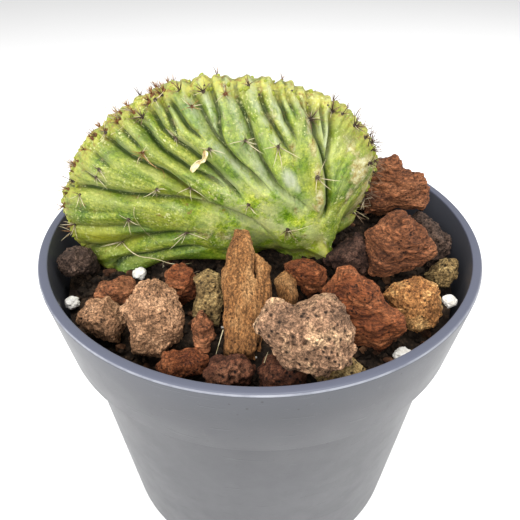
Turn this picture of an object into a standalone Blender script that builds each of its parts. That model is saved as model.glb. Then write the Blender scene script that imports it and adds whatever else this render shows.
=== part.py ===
"""A crested columnar cactus in a round nursery pot, under a dressing of lava stones.

The fan-shaped stem stands on a short neck in the soil. The stones and the perlite grains lie loose
on the soil and on each other. Units are metres, +Z is up, and the origin is the centre of the
pot's foot, on the surface that the pot stands on. Run it with

    blender --background --python part.py
"""

import math
import random

import bmesh
import bpy
from mathutils import Matrix, Vector
from mathutils.bvhtree import BVHTree

MM = 0.001

# Pot: a moulded pot with a wide collar under its rim
POT_HEIGHT = 95 * MM
RIM_DIAMETER = 120 * MM
RIM_WIDTH = 2.5 * MM
RIM_ROUNDING = 0.5 * MM
COLLAR_HEIGHT = 22.5 * MM
COLLAR_TAPER = 3 * MM
COLLAR_STEP = 3.2 * MM
FOOT_DIAMETER = 94 * MM
FOOT_RING_WIDTH = 3 * MM
FOOT_RECESS = 3 * MM
WALL = 1.3 * MM
POT_SEGMENTS = 48
DRAIN_HOLE_DIAMETER = 8 * MM
DRAIN_HOLE_COUNT = 6
DRAIN_CIRCLE_DIAMETER = 56 * MM

# Soil: a plug that fills the pot, with a shallow uneven top
SOIL_BELOW_RIM = 13 * MM
SOIL_UNEVENNESS = 0.7 * MM
SOIL_MOUND = 2 * MM
SOIL_RINGS = 6

# Crested stem: a fan that widens from a round neck to a long growing edge
CREST_WIDTH = 84 * MM
CREST_HEIGHT = 53 * MM
CREST_THICKNESS = 25 * MM
CREST_TO_WALL = 2.5 * MM
CREST_DEPTH_PLACE = 2 * MM
CREST_WAVE = 1.2 * MM
NECK_DIAMETER = 14 * MM
NECK_DEPTH = 20 * MM
RIB_DEPTH = 1.3 * MM

CLEARANCE = 0.3 * MM  # the gap left between pieces that touch
LIFT_STEP = 0.1 * MM

# The growing edge of the fan, as (share of the width from the neck, share of the height).
CREST_EDGE = (
    (-0.50, 0.02), (-0.64, 0.0), (-0.73, 0.06), (-0.775, 0.205), (-0.765, 0.385), (-0.71, 0.565),
    (-0.62, 0.745), (-0.50, 0.88), (-0.37, 0.965), (-0.24, 1.0), (-0.11, 0.995), (0.01, 0.955),
    (0.11, 0.88), (0.19, 0.755), (0.235, 0.615), (0.24, 0.48), (0.215, 0.335), (0.20, 0.22), (0.14, 0.16),
)

# Grooves between the ribs, as (place along the growing edge, where up the fan the groove starts).
FRONT_GROOVES = (
    (0.04, 0.2), (0.085, 0.35), (0.13, 0.5), (0.185, 0.1), (0.235, 0.65), (0.285, 0.35), (0.325, 0.75),
    (0.36, 0.1), (0.4, 0.6), (0.435, 0.3), (0.47, 0.65), (0.5, 0.2), (0.53, 0.6), (0.565, 0.05),
    (0.6, 0.5), (0.63, 0.75), (0.66, 0.4), (0.695, 0.1), (0.74, 0.55), (0.79, 0.3), (0.85, 0.6),
    (0.92, 0.15), (0.965, 0.45),
)
BACK_GROOVES = (
    (0.05, 0.3), (0.1, 0.15), (0.16, 0.55), (0.21, 0.1), (0.26, 0.6), (0.305, 0.3), (0.345, 0.65),
    (0.385, 0.1), (0.425, 0.5), (0.46, 0.2), (0.495, 0.7), (0.535, 0.05), (0.575, 0.55), (0.61, 0.3),
    (0.65, 0.7), (0.69, 0.15), (0.73, 0.6), (0.775, 0.3), (0.83, 0.1), (0.89, 0.5), (0.95, 0.2),
)

# Stones whose outline shows, in millimetres as seen from the front and above: across, then up.
OUTLINES = {
    "slab": ((-5, 0), (0, -2), (3, -1), (6, 13), (6, 22), (1.5, 26), (0.5, 31), (-3, 32), (-6, 21)),
    "porous": ((-11, 2), (-7, 7.5), (-2.5, 6.5), (5, 8.5), (8.5, 7), (10.5, 1), (10, -7), (5, -8.5),
               (-4, -7), (-8, -2)),
    "peaked": ((-10, 4), (-5, 10), (-2, 10), (4, 5), (11, -2), (12, -6), (5, -11), (-5, -8)),
    "ochre": ((-8, 2.5), (-5, 5.5), (1.5, 7.5), (7, 5.5), (8, -1), (5, -6), (1, -7), (-4, -4)),
    "tall": ((-10, 4), (-7, 6), (-1.5, 10), (1, 10), (6, 4), (10, -2), (6, -6), (-4, -9), (-9, -8)),
    "stepped": ((-10, -3), (-7, 8), (0, 9), (2, 4.5), (8, 3), (11, -1), (9, -8), (0, -7), (-9, -9)),
    "wedge": ((-8.5, 3), (-3, 9), (1, 10), (5, 7), (7, 2), (7.5, -5), (2, -9), (-5.5, -8.5), (-6, -3)),
    "chunk": ((-6, 1), (-4, 5.5), (1.5, 6), (4.5, 2.5), (6, -1), (4, -6.5), (1, -5.5), (-5, -1.5)),
    "saddle": ((-6, 6), (-2.5, 8), (1, 5), (6.5, 0), (6, -5), (1, -8), (-5, -2)),
    "pebble": ((-5, 0), (-2.5, 3), (1, 4.5), (4.5, 3.5), (4.5, -1.5), (1, -4.5), (-2.5, -3)),
    "spike": ((-6.5, -1), (-2, 3), (2, 6.5), (4.5, 3.5), (5.5, -3), (4, -5.5), (-3, -3.5)),
    "round": ((-7, 3), (-3, 5), (2, 4.5), (5.5, 1.5), (5, -4), (0, -5.5), (-4, -1.5)),
    "lumpy": ((-3.5, 6), (0, 8.5), (3, 7), (4, 1), (3, -3), (3, -7), (-1.5, -8), (-4, -6), (-3, 0)),
    "sliver": ((-2.5, 3), (0, 5.5), (2.5, 3), (3, -1), (1.5, -5), (-1.5, -4)),
    "low": ((-6, 0), (-4, 3.5), (2, 4), (6, 1), (5, -3), (-4, -3.5)),
}

# Each stone: its outline, its thickness, its place in plan, its turn and its lean, in millimetres
# and degrees. They are laid in this order, each at the lowest height where it is free.
STONES = {
    "stone_low_front": ("low", 8, (-7, -46), 5, 30, "lava_red"),
    "stone_low_centre": ("low", 9, (5, -46), -8, 35, "lava_red"),
    "stone_low_right": ("low", 8, (18, -47), 170, 35, "lava_olive"),
    "stone_low_left": ("low", 8, (-18, -43), 12, 35, "lava_rust"),
    "stone_low_middle": ("sliver", 7, (-13, -37), 0, 37, "lava_brown"),
    "stone_far_left": ("chunk", 11, (-38, -31), 0, 37, "lava_tan"),
    "stone_shaded_left": ("chunk", 8, (-51, -9), 80, 25, "lava_dark"),
    "stone_behind_left": ("low", 10, (-38, -19), 10, 30, "lava_brown"),
    "stone_under_crest": ("chunk", 10, (-21, -19), 160, 30, "lava_rust"),
    "stone_lumpy": ("lumpy", 9, (-13, -26), 0, 37, "lava_olive"),
    "stone_slab_side": ("sliver", 7, (7, -20), 0, 37, "lava_bark"),
    "stone_round_red": ("round", 11, (12.5, -14), 0, 37, "lava_rust"),
    "stone_spiked": ("spike", 11, (25, -9), 0, 37, "lava_purple"),
    "stone_grey_back": ("saddle", 12, (50, 3), 0, 37, "lava_dark"),
    "stone_left_big": ("wedge", 13, (-25, -34), 0, 37, "lava_tan"),
    "stone_slab": ("slab", 8, (-3, -29), 0, 42, "lava_bark"),
    "stone_peaked": ("peaked", 14, (25, -31), 0, 37, "lava_rust"),
    "stone_tall": ("tall", 15, (37, -10), 0, 37, "lava_brown"),
    "stone_porous": ("porous", 13, (10, -45), 0, 37, "lava_pink"),
    "stone_ochre": ("ochre", 12, (39, -26), 0, 37, "lava_ochre"),
    "stone_stepped": ("stepped", 14, (40, 12), 0, 37, "lava_brown"),
    "stone_pebble_right": ("pebble", 9, (52, -12), 0, 37, "lava_olive"),
    "stone_back_right": ("tall", 14, (37, 27), 150, 35, "lava_brown"),
    "stone_back_outer_1": ("chunk", 12, (22, 42), 20, 35, "lava_tan"),
    "stone_back_outer_2": ("wedge", 11, (7, 45), 75, 30, "lava_rust"),
    "stone_back_outer_3": ("saddle", 12, (-9, 45), 130, 35, "lava_dark"),
    "stone_back_outer_4": ("ochre", 11, (-25, 40), 200, 35, "lava_ochre"),
    "stone_back_outer_5": ("wedge", 11, (-38, 29), 310, 35, "lava_olive"),
    "stone_back_outer_6": ("low", 10, (-47, 16), 20, 30, "lava_rust"),
    "stone_back_inner_1": ("spike", 11, (22, 23), 90, 30, "lava_purple"),
    "stone_back_inner_2": ("tall", 12, (7, 27), 160, 35, "lava_rust"),
    "stone_back_inner_3": ("chunk", 11, (-9, 27), 220, 30, "lava_tan"),
    "stone_back_inner_4": ("round", 12, (-23, 24), 280, 35, "lava_brown"),
    "stone_back_small_1": ("pebble", 7, (-2, 37), 30, 20, "lava_red"),
    "stone_back_small_2": ("pebble", 7, (-17, 33), 100, 20, "lava_tan"),
    "stone_back_small_3": ("low", 7, (15, 34), 80, 25, "lava_olive"),
    "stone_back_small_4": ("pebble", 7, (-32, 19), 160, 20, "lava_dark"),
    "stone_back_small_5": ("low", 7, (28, 38), 130, 25, "lava_rust"),
}

# Perlite grains: place in plan and size, in millimetres.
PERLITE = {
    "perlite_left": ((-51, -20), 4.2),
    "perlite_front_right": ((34, -39), 4.6),
    "perlite_right": ((49, -24), 4.0),
    "perlite_under_crest": ((-34, -8), 4.0),
    "perlite_back_left": ((-35, 42), 3.6),
    "perlite_back": ((8, 37), 3.8),
}

FINISHES = {
    "grey_plastic": ((0.20, 0.21, 0.24), 0.42),
    "potting_soil": ((0.025, 0.018, 0.013), 0.95),
    "cactus_skin": ((0.28, 0.42, 0.05), 0.45),
    "lava_tan": ((0.36, 0.22, 0.13), 0.9),
    "lava_pink": ((0.42, 0.28, 0.19), 0.9),
    "lava_ochre": ((0.42, 0.25, 0.09), 0.9),
    "lava_bark": ((0.38, 0.20, 0.09), 0.9),
    "lava_rust": ((0.22, 0.075, 0.035), 0.9),
    "lava_red": ((0.17, 0.065, 0.045), 0.9),
    "lava_brown": ((0.16, 0.07, 0.04), 0.9),
    "lava_olive": ((0.22, 0.17, 0.09), 0.9),
    "lava_purple": ((0.10, 0.055, 0.05), 0.9),
    "lava_dark": ((0.08, 0.055, 0.045), 0.9),
    "perlite_white": ((0.75, 0.74, 0.68), 0.8),
}

RIM_RADIUS = RIM_DIAMETER / 2
FOOT_RADIUS = FOOT_DIAMETER / 2
SOIL_TOP = POT_HEIGHT - SOIL_BELOW_RIM
COLLAR_FOOT = POT_HEIGHT - COLLAR_HEIGHT
COLLAR_FOOT_RADIUS = RIM_RADIUS - COLLAR_TAPER
BODY_TOP_RADIUS = COLLAR_FOOT_RADIUS - COLLAR_STEP
FLOOR_TOP = FOOT_RECESS + WALL
NECK_RADIUS = NECK_DIAMETER / 2


def clear_scene():
    for obj in list(bpy.data.objects):
        bpy.data.objects.remove(obj)


def finish_of(name):
    """The material of this name, made once."""
    if name in bpy.data.materials:
        return bpy.data.materials[name]
    colour, roughness = FINISHES[name]
    material = bpy.data.materials.new(name)
    material.use_nodes = True
    shader = material.node_tree.nodes["Principled BSDF"]
    shader.inputs["Base Color"].default_value = (*colour, 1)
    shader.inputs["Roughness"].default_value = roughness
    shader.inputs["Metallic"].default_value = 0
    return material


def new_object(name, mesh, finish=None):
    """An object of this mesh, or of this bmesh, linked to the scene."""
    if isinstance(mesh, bmesh.types.BMesh):
        source, mesh = mesh, bpy.data.meshes.new(name)
        bmesh.ops.recalc_face_normals(source, faces=source.faces)
        source.to_mesh(mesh)
        source.free()
    obj = bpy.data.objects.new(name, mesh)
    bpy.context.scene.collection.objects.link(obj)
    if finish:
        mesh.materials.append(finish_of(finish))
    return obj


def cut(obj, cutter):
    """Takes the cutter's shape out of the object, and hides the cutter."""
    cutter.hide_render = True
    cutter.display_type = "WIRE"
    modifier = obj.modifiers.new("cut_" + cutter.name, "BOOLEAN")
    modifier.operation = "DIFFERENCE"
    modifier.solver = "EXACT"
    modifier.object = cutter


def turned(profile, segments):
    """A solid of revolution about Z. The profile runs from the axis, round the section, to the axis."""
    mesh = bmesh.new()
    points = [mesh.verts.new((radius, 0, height)) for radius, height in profile]
    edges = [mesh.edges.new(pair) for pair in zip(points, points[1:])]
    bmesh.ops.spin(
        mesh, geom=points + edges, cent=(0, 0, 0), axis=(0, 0, 1), angle=2 * math.pi, steps=segments
    )
    bmesh.ops.remove_doubles(mesh, verts=mesh.verts, dist=1e-6)
    return mesh


def smooth_step(low, high, value):
    share = min(max((value - low) / (high - low), 0), 1)
    return share * share * (3 - 2 * share)


# --- pot ---


def inner_wall(offset=0.0):
    """The pot's inner profile from the floor up to the rim, moved inwards by the offset."""
    ledge = COLLAR_FOOT + WALL
    return [
        (FOOT_RADIUS - WALL - offset, FLOOR_TOP + offset),
        (BODY_TOP_RADIUS - WALL - offset, ledge),
        (COLLAR_FOOT_RADIUS - WALL - offset, ledge + COLLAR_STEP / 2),
        (RIM_RADIUS - RIM_WIDTH - offset, POT_HEIGHT),
    ]


def inner_radius(height, offset=0.0):
    """The radius of the pot's inside at a height."""
    wall = inner_wall(offset)
    for (low_radius, low), (high_radius, high) in zip(wall, wall[1:]):
        if height <= high:
            share = max(height - low, 0) / (high - low)
            return low_radius + share * (high_radius - low_radius)
    return wall[-1][0]


def make_pot():
    outside = [
        (0, FOOT_RECESS),
        (FOOT_RADIUS - FOOT_RING_WIDTH, FOOT_RECESS),
        (FOOT_RADIUS - FOOT_RING_WIDTH, 0),
        (FOOT_RADIUS, 0),
        (BODY_TOP_RADIUS, COLLAR_FOOT + WALL),
        (COLLAR_FOOT_RADIUS - RIM_ROUNDING, COLLAR_FOOT),
        (COLLAR_FOOT_RADIUS, COLLAR_FOOT),
        (RIM_RADIUS, POT_HEIGHT - RIM_ROUNDING),
        (RIM_RADIUS - RIM_ROUNDING, POT_HEIGHT),
    ]
    inside = inner_wall()[::-1] + [(0, FLOOR_TOP)]
    pot = new_object("pot", turned(outside + inside, POT_SEGMENTS), "grey_plastic")
    for polygon in pot.data.polygons:
        polygon.use_smooth = True
    pot.data.set_sharp_from_angle(angle=math.radians(30))
    cut(pot, drain_hole_cutter())
    return pot


def drain_hole_cutter():
    """One cylinder for each drain hole: a ring of them round one in the middle."""
    mesh = bmesh.new()
    centres = [Vector((0, 0, 0))]
    for k in range(DRAIN_HOLE_COUNT):
        turn = Matrix.Rotation(2 * math.pi * k / DRAIN_HOLE_COUNT, 3, "Z")
        centres.append(turn @ Vector((DRAIN_CIRCLE_DIAMETER / 2, 0, 0)))
    for centre in centres:
        bmesh.ops.create_cone(
            mesh,
            cap_ends=True,
            segments=12,
            radius1=DRAIN_HOLE_DIAMETER / 2,
            radius2=DRAIN_HOLE_DIAMETER / 2,
            depth=6 * WALL,
            matrix=Matrix.Translation(centre + Vector((0, 0, FOOT_RECESS + WALL / 2))),
        )
    return new_object("drain_hole_cutter", mesh)


# --- crested stem ---


def edge_point(share):
    """A point of the growing edge, from 0 at its left end to 1 at its right end: (across, up)."""
    lengths = [0.0]
    for a, b in zip(CREST_EDGE, CREST_EDGE[1:]):
        lengths.append(lengths[-1] + math.dist(a, b))
    reach = share * lengths[-1]
    k = next((i for i in range(len(lengths) - 2) if lengths[i + 1] >= reach), len(lengths) - 2)
    t = (reach - lengths[k]) / (lengths[k + 1] - lengths[k])
    before = CREST_EDGE[max(k - 1, 0)]
    after = CREST_EDGE[min(k + 2, len(CREST_EDGE) - 1)]
    point = []
    for p0, p1, p2, p3 in zip(before, CREST_EDGE[k], CREST_EDGE[k + 1], after):
        bend = (p2 - p0) * t + (2 * p0 - 5 * p1 + 4 * p2 - p3) * t * t
        point.append(p1 + 0.5 * (bend + (3 * p1 - p0 - 3 * p2 + p3) * t**3))
    return Vector((point[0] * CREST_WIDTH, 0, point[1] * CREST_HEIGHT))


def fan_line(along, up):
    """A point of the fan's middle surface. along runs from 0 at the left to 1, up from 0 at the neck."""
    side = 2 * along - 1
    start = Vector((NECK_RADIUS * math.sin(side * math.pi / 2), 0, 0))
    edge = edge_point(along)
    tilt = math.radians(12 - 62 * side if side < 0 else 12 - 52 * side)
    rise = Vector((-math.sin(tilt), 0, math.cos(tilt))) * 0.42 * (edge - start).length
    heart = Vector((-0.18 * CREST_WIDTH, 0, (0.42 - 0.34 * side**4) * CREST_HEIGHT))
    inwards = (heart - edge) * 0.4
    a, b, c, d = start, start + rise, edge + inwards, edge
    line = a * (1 - up) ** 3 + b * 3 * up * (1 - up) ** 2 + c * 3 * up**2 * (1 - up) + d * up**3
    return line + Vector((0, CREST_WAVE * math.sin(7.5 * along) * up, 0))


def half_thickness(along, up):
    """Half of the fan's thickness: a round neck that swells, then rounds off at the growing edge."""
    side = abs(2 * along - 1)
    round_neck = NECK_RADIUS * math.cos(side * math.pi / 2)
    swell = NECK_RADIUS + (CREST_THICKNESS / 2 - NECK_RADIUS) * smooth_step(0, 0.5, up)
    full = swell * math.sqrt(max(1 - up**3.2, 0)) * math.sqrt(max(1 - side**8, 0))
    blend = smooth_step(0, 0.25, up)
    return round_neck * (1 - blend) + full * blend


def groove_depth(along, up, grooves):
    """How far the skin lies below the tops of the ribs, for a point of the fan."""
    depth = 0.0
    for place, start in grooves:
        reach = 0.02
        near = max(1 - abs(along - place) / reach, 0)
        depth += near * smooth_step(start, start + 0.15, up)
    return RIB_DEPTH * min(depth, 1) * math.sqrt(max(1 - up**6, 0))


def stations(grooves):
    """Places across the fan: each groove, the middle of each rib, and the two ends."""
    places = [0.0] + [place for place, _ in grooves] + [1.0]
    middles = [(a + b) / 2 for a, b in zip(places, places[1:])]
    return sorted(places + middles)


def make_cactus():
    """The fan as one closed skin: front and back rows of points that share the ends and the edge."""
    rows = [0, 0.1, 0.22, 0.36, 0.5, 0.63, 0.75, 0.86, 0.95]
    mesh = bmesh.new()
    across = stations(FRONT_GROOVES)

    def skin_point(along, up, facing, grooves):
        middle = fan_line(along, up)
        out = half_thickness(along, up) - groove_depth(along, up, grooves)
        return middle + Vector((0, facing * max(out, 0.2 * MM), 0))

    rings = []
    for depth, shrink in ((-NECK_DEPTH, 0.55), (-0.6 * NECK_DEPTH, 0.85)):
        ring = []
        for facing, line in ((-1, across), (1, across[::-1])):
            for along in line[1:] if facing == -1 else line[1:]:
                base = fan_line(along, 0)
                point = Vector((base.x, facing * half_thickness(along, 0), 0)) * shrink
                ring.append(mesh.verts.new(point + Vector((0, 0, depth))))
        rings.append(ring)
    for up in rows:
        ring = []
        for facing, line, grooves in ((-1, across, FRONT_GROOVES), (1, across[::-1], BACK_GROOVES)):
            for along in line[1:]:
                end = along in (0.0, 1.0)
                point = fan_line(along, up) if end else skin_point(along, up, facing, grooves)
                ring.append(mesh.verts.new(point))
        rings.append(ring)
    for low, high in zip(rings, rings[1:]):
        for k in range(len(low)):
            mesh.faces.new((low[k - 1], low[k], high[k], high[k - 1]))
    mesh.faces.new(rings[0][::-1])
    # The two rows nearest the growing edge meet along it.
    last, count = rings[-1], len(across) - 1
    crest = [last[-1]] + [mesh.verts.new(fan_line(along, 1)) for along in across[1:-1]] + [last[count - 1]]
    front = [last[-1]] + last[:count]
    back = [last[-1]] + last[count - 1 : 2 * count - 1][::-1]
    for k in range(count):
        for row, turn in ((front, 1), (back, -1)):
            corners = [row[k], row[k + 1], crest[k + 1], crest[k]]
            unique = list(dict.fromkeys(corners))
            mesh.faces.new(unique[::turn])
    bmesh.ops.triangulate(mesh, faces=mesh.faces)
    cactus = new_object("cactus", mesh, "cactus_skin")
    cactus.location = plant_place()
    return cactus


def plant_place():
    """Where the neck leaves the soil: the fan's left tip stays clear of the pot's wall."""
    left_reach = -min(x for x, _ in CREST_EDGE) * CREST_WIDTH
    free_radius = RIM_RADIUS - RIM_WIDTH - CREST_TO_WALL
    return Vector((left_reach - free_radius, CREST_DEPTH_PLACE, SOIL_TOP + SOIL_MOUND))


# --- soil ---


def soil_height(x, y):
    """The uneven top of the soil."""
    waves = math.sin(x * 190) * math.cos(y * 230) + 0.6 * math.sin(x * 90 + y * 140)
    mound = SOIL_MOUND * (1 - (x * x + y * y) / RIM_RADIUS**2)
    return SOIL_TOP + mound + SOIL_UNEVENNESS * (waves / 1.6 - 1)


def make_soil():
    mesh = bmesh.new()
    bottom_to_top = inner_wall(CLEARANCE)[:3]
    top_radius = inner_radius(SOIL_TOP - 2 * SOIL_UNEVENNESS, CLEARANCE) - CLEARANCE
    rings = []
    for radius, height in bottom_to_top:
        rings.append([(radius, height)] * POT_SEGMENTS)
    rings = [[round_point(radius, height, k) for k, (radius, height) in enumerate(r)] for r in rings]
    for n in range(SOIL_RINGS):
        radius = top_radius * (1 - n / SOIL_RINGS)
        ring = []
        for k in range(POT_SEGMENTS):
            x, y, _ = round_point(radius, 0, k)
            ring.append((x, y, soil_height(x, y)))
        rings.append(ring)
    rings = [[mesh.verts.new(point) for point in ring] for ring in rings]
    for low, high in zip(rings, rings[1:]):
        for k in range(POT_SEGMENTS):
            mesh.faces.new((low[k - 1], low[k], high[k], high[k - 1]))
    mesh.faces.new(rings[0][::-1])
    middle = mesh.verts.new((0, 0, soil_height(0, 0)))
    for k in range(POT_SEGMENTS):
        mesh.faces.new((rings[-1][k - 1], rings[-1][k], middle))
    soil = new_object("soil", mesh, "potting_soil")
    cut(soil, neck_socket_cutter())
    return soil


def round_point(radius, height, k):
    angle = 2 * math.pi * k / POT_SEGMENTS
    return radius * math.cos(angle), radius * math.sin(angle), height


def neck_socket_cutter():
    """The room that the neck takes in the soil, with a clearance all round."""
    mesh = bmesh.new()
    depth = NECK_DEPTH + CLEARANCE
    rise = 2 * (SOIL_MOUND + SOIL_UNEVENNESS)
    bmesh.ops.create_cone(
        mesh,
        cap_ends=True,
        segments=32,
        radius1=NECK_RADIUS + 2 * CLEARANCE,
        radius2=NECK_RADIUS + 2 * CLEARANCE,
        depth=depth + rise,
        matrix=Matrix.Translation(plant_place() + Vector((0, 0, (rise - depth) / 2))),
    )
    return new_object("neck_socket_cutter", mesh)


# --- stones ---


def stone_mesh(outline, thickness, seed):
    """A lump with this outline as seen along Y, rounded off to the front and to the back."""
    chance = random.Random(seed)
    points = [Vector((x * MM, 0, z * MM)) for x, z in outline]
    centre = sum(points, Vector()) / len(points)
    mesh = bmesh.new()
    rings = []
    for share, size in ((-1, 0.45), (-0.62, 0.86), (0, 1.0), (0.62, 0.86), (1, 0.45)):
        ring = []
        for point in points:
            out = (point - centre) * size * chance.uniform(0.93, 1.0)
            depth = share * thickness * MM / 2 * chance.uniform(0.82, 1.0)
            ring.append(mesh.verts.new(centre * 0 + out + Vector((0, depth, 0))))
        rings.append(ring)
    for low, high in zip(rings, rings[1:]):
        for k in range(len(low)):
            mesh.faces.new((low[k - 1], low[k], high[k], high[k - 1]))
    for ring, facing in ((rings[0], -1), (rings[-1], 1)):
        tip = Vector((0, facing * thickness * MM / 2 * chance.uniform(1.0, 1.12), 0))
        middle = mesh.verts.new(tip)
        for k in range(len(ring)):
            mesh.faces.new((ring[k - 1], ring[k], middle))
    bmesh.ops.triangulate(mesh, faces=mesh.faces)
    return mesh


def grain_mesh(size, seed):
    """A small angular perlite grain."""
    chance = random.Random(seed)
    mesh = bmesh.new()
    bmesh.ops.create_icosphere(mesh, subdivisions=2, radius=size * MM / 2)
    for vert in mesh.verts:
        vert.co *= chance.uniform(0.82, 1.0)
        vert.co.z *= 0.8
    return mesh


def world_mesh(obj):
    """The object's evaluated points and triangles in world space."""
    evaluated = obj.evaluated_get(bpy.context.evaluated_depsgraph_get())
    mesh = evaluated.to_mesh()
    mesh.calc_loop_triangles()
    points = [evaluated.matrix_world @ vert.co for vert in mesh.vertices]
    triangles = [tuple(triangle.vertices) for triangle in mesh.loop_triangles]
    evaluated.to_mesh_clear()
    return points, triangles


def is_inside(tree, point):
    nearest, normal, _, _ = tree.find_nearest(point)
    return nearest is not None and (point - nearest).dot(normal) < 0


def lay(obj, place, obstacles):
    """Sets a loose piece down at its place in plan, at the lowest height where it is free."""
    turn = obj.rotation_euler.to_matrix()
    swollen = [turn @ (vert.co + vert.normal * CLEARANCE) for vert in obj.data.vertices]
    triangles = [tuple(polygon.vertices) for polygon in obj.data.polygons]
    free_radius = RIM_RADIUS - RIM_WIDTH - COLLAR_TAPER / 2
    reach = max((place + point).xy.length for point in swollen)
    if reach > free_radius:
        place = place * (1 - (reach - free_radius) / place.length)
    height = SOIL_TOP - min(point.z for point in swollen) - 2 * SOIL_UNEVENNESS
    while True:
        spot = place + Vector((0, 0, height))
        tree = BVHTree.FromPolygons([point + spot for point in swollen], triangles)
        if not any(tree.overlap(other) or is_inside(other, spot) for other in obstacles):
            break
        height += LIFT_STEP
    obj.location = spot
    bpy.context.view_layer.update()
    obstacles.append(BVHTree.FromPolygons(*world_mesh(obj)))


def lay_stone(name, outline, thickness, place, turn, lean, finish, obstacles):
    seed = sum(map(ord, name))
    stone = new_object(name, stone_mesh(OUTLINES[outline], thickness, seed), finish)
    stone.rotation_euler = (math.radians(-lean), 0, math.radians(turn))
    lay(stone, Vector((place[0] * MM, place[1] * MM, 0)), obstacles)


def main():
    clear_scene()
    held = [make_pot(), make_soil(), make_cactus()]
    bpy.context.view_layer.update()
    obstacles = [BVHTree.FromPolygons(*world_mesh(obj)) for obj in held]
    for name, (outline, thickness, place, turn, lean, finish) in STONES.items():
        lay_stone(name, outline, thickness, place, turn, lean, finish, obstacles)
    for name, (place, size) in PERLITE.items():
        grain = new_object(name, grain_mesh(size, sum(map(ord, name))), "perlite_white")
        lay(grain, Vector((place[0] * MM, place[1] * MM, 0)), obstacles)


main()
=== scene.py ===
import math
import random

import bpy
import mathutils.noise
import numpy as np
from mathutils import Matrix, Vector


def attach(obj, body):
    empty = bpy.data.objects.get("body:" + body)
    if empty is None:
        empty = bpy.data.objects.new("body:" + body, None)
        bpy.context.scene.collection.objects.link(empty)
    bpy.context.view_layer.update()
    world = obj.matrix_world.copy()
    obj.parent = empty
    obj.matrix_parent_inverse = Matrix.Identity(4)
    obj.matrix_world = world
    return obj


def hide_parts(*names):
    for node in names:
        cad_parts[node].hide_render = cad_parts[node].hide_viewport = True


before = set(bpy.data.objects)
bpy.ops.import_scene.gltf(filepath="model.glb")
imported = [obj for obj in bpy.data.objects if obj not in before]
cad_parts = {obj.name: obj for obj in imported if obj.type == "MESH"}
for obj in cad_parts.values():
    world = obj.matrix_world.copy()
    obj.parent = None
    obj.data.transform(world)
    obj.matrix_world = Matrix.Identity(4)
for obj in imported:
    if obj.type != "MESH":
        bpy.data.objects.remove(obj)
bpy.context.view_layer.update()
mm = 0.001
fullTurn = 6.3
chance = random.Random(11)
print("frame loaded:", len(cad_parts), "nodes")


# small helpers

def pickOnly(*pieces):
    if bpy.context.object and bpy.context.object.mode != "OBJECT":
        bpy.ops.object.mode_set(mode="OBJECT")
    bpy.ops.object.select_all(action="DESELECT")
    for piece in pieces:
        piece.select_set(True)
    bpy.context.view_layer.objects.active = pieces[0]


def bakeModifier(piece, kind, **settings):
    pickOnly(piece)
    modifier = piece.modifiers.new(kind.lower(), kind)
    for setting, value in settings.items():
        setattr(modifier, setting, value)
    bpy.ops.object.modifier_apply(modifier=modifier.name)


def settle(piece, name, look, slotName, *nodes):
    piece.name = name
    piece.data.name = name
    piece.data.materials.clear()
    piece.data.materials.append(look)
    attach(piece, "root")
    if nodes:
        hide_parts(*nodes)
    return piece


def joinAll(pieces):
    pickOnly(*pieces)
    bpy.ops.object.join()
    return bpy.context.object


def smoothSkin(piece):
    pickOnly(piece)
    bpy.ops.object.shade_smooth()


def softStep(low, high, value):
    share = np.clip((value - low) / (high - low), 0, 1)
    return share * share * (3 - 2 * share)


def mergePoints(piece, distance):
    pickOnly(piece)
    bpy.ops.object.mode_set(mode="EDIT")
    bpy.ops.mesh.select_all(action="SELECT")
    bpy.ops.mesh.remove_doubles(threshold=distance)
    bpy.ops.mesh.normals_make_consistent(inside=False)
    bpy.ops.object.mode_set(mode="OBJECT")


def closeShell():
    # from edit mode: fills the rings left open and turns every face outwards
    bpy.ops.mesh.select_all(action="DESELECT")
    bpy.ops.mesh.select_mode(type="EDGE")
    bpy.ops.mesh.select_non_manifold(extend=False)
    bpy.ops.mesh.edge_face_add()
    bpy.ops.mesh.select_all(action="SELECT")
    bpy.ops.mesh.normals_make_consistent(inside=False)
    bpy.ops.mesh.select_mode(type="VERT")
    bpy.ops.object.mode_set(mode="OBJECT")


def growRings(profile, segments):
    # a circle, with every further ring extruded from the one before
    radius, height = profile[0]
    bpy.ops.object.select_all(action="DESELECT")
    bpy.ops.mesh.primitive_circle_add(vertices=segments, radius=radius)
    piece = bpy.context.object
    bpy.ops.object.mode_set(mode="EDIT")
    bpy.ops.mesh.select_all(action="SELECT")
    bpy.ops.transform.translate(value=(0, 0, height))
    for (radius, height), (newRadius, newHeight) in zip(profile, profile[1:]):
        size = newRadius / radius
        rise = (0, 0, newHeight - height)
        bpy.ops.mesh.extrude_region_move(TRANSFORM_OT_translate={"value": rise})
        bpy.ops.transform.resize(value=(size, size, 1), center_override=(0, 0, newHeight))
    bpy.ops.mesh.edge_face_add()
    closeShell()
    return piece


def roughBall(subdivisions, roughness, seed):
    bpy.ops.mesh.primitive_ico_sphere_add(subdivisions=subdivisions, radius=1)
    ball = bpy.context.object
    bpy.ops.object.mode_set(mode="EDIT")
    bpy.ops.transform.vertex_random(offset=roughness, seed=seed)
    bpy.ops.object.mode_set(mode="OBJECT")
    return ball


def addPiece(name, data):
    piece = bpy.data.objects.new(name, data)
    bpy.context.scene.collection.objects.link(piece)
    return piece


def copyNode(name):
    piece = addPiece(name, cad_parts[name].data.copy())
    mergePoints(piece, 0.01 * mm)
    return piece


def placeCopy(name, source, matrix):
    mesh = source.data.copy()
    mesh.transform(matrix)
    return addPiece(name, mesh)


def anySpin():
    return Matrix.Rotation(chance.uniform(0, fullTurn), 4, (chance.random(), chance.random(), 1))


def sized(x, y, z):
    return Matrix.Diagonal((x, y, z, 1))


def aimed(direction):
    return direction.to_track_quat("Z", "Y").to_matrix().to_4x4()


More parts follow.
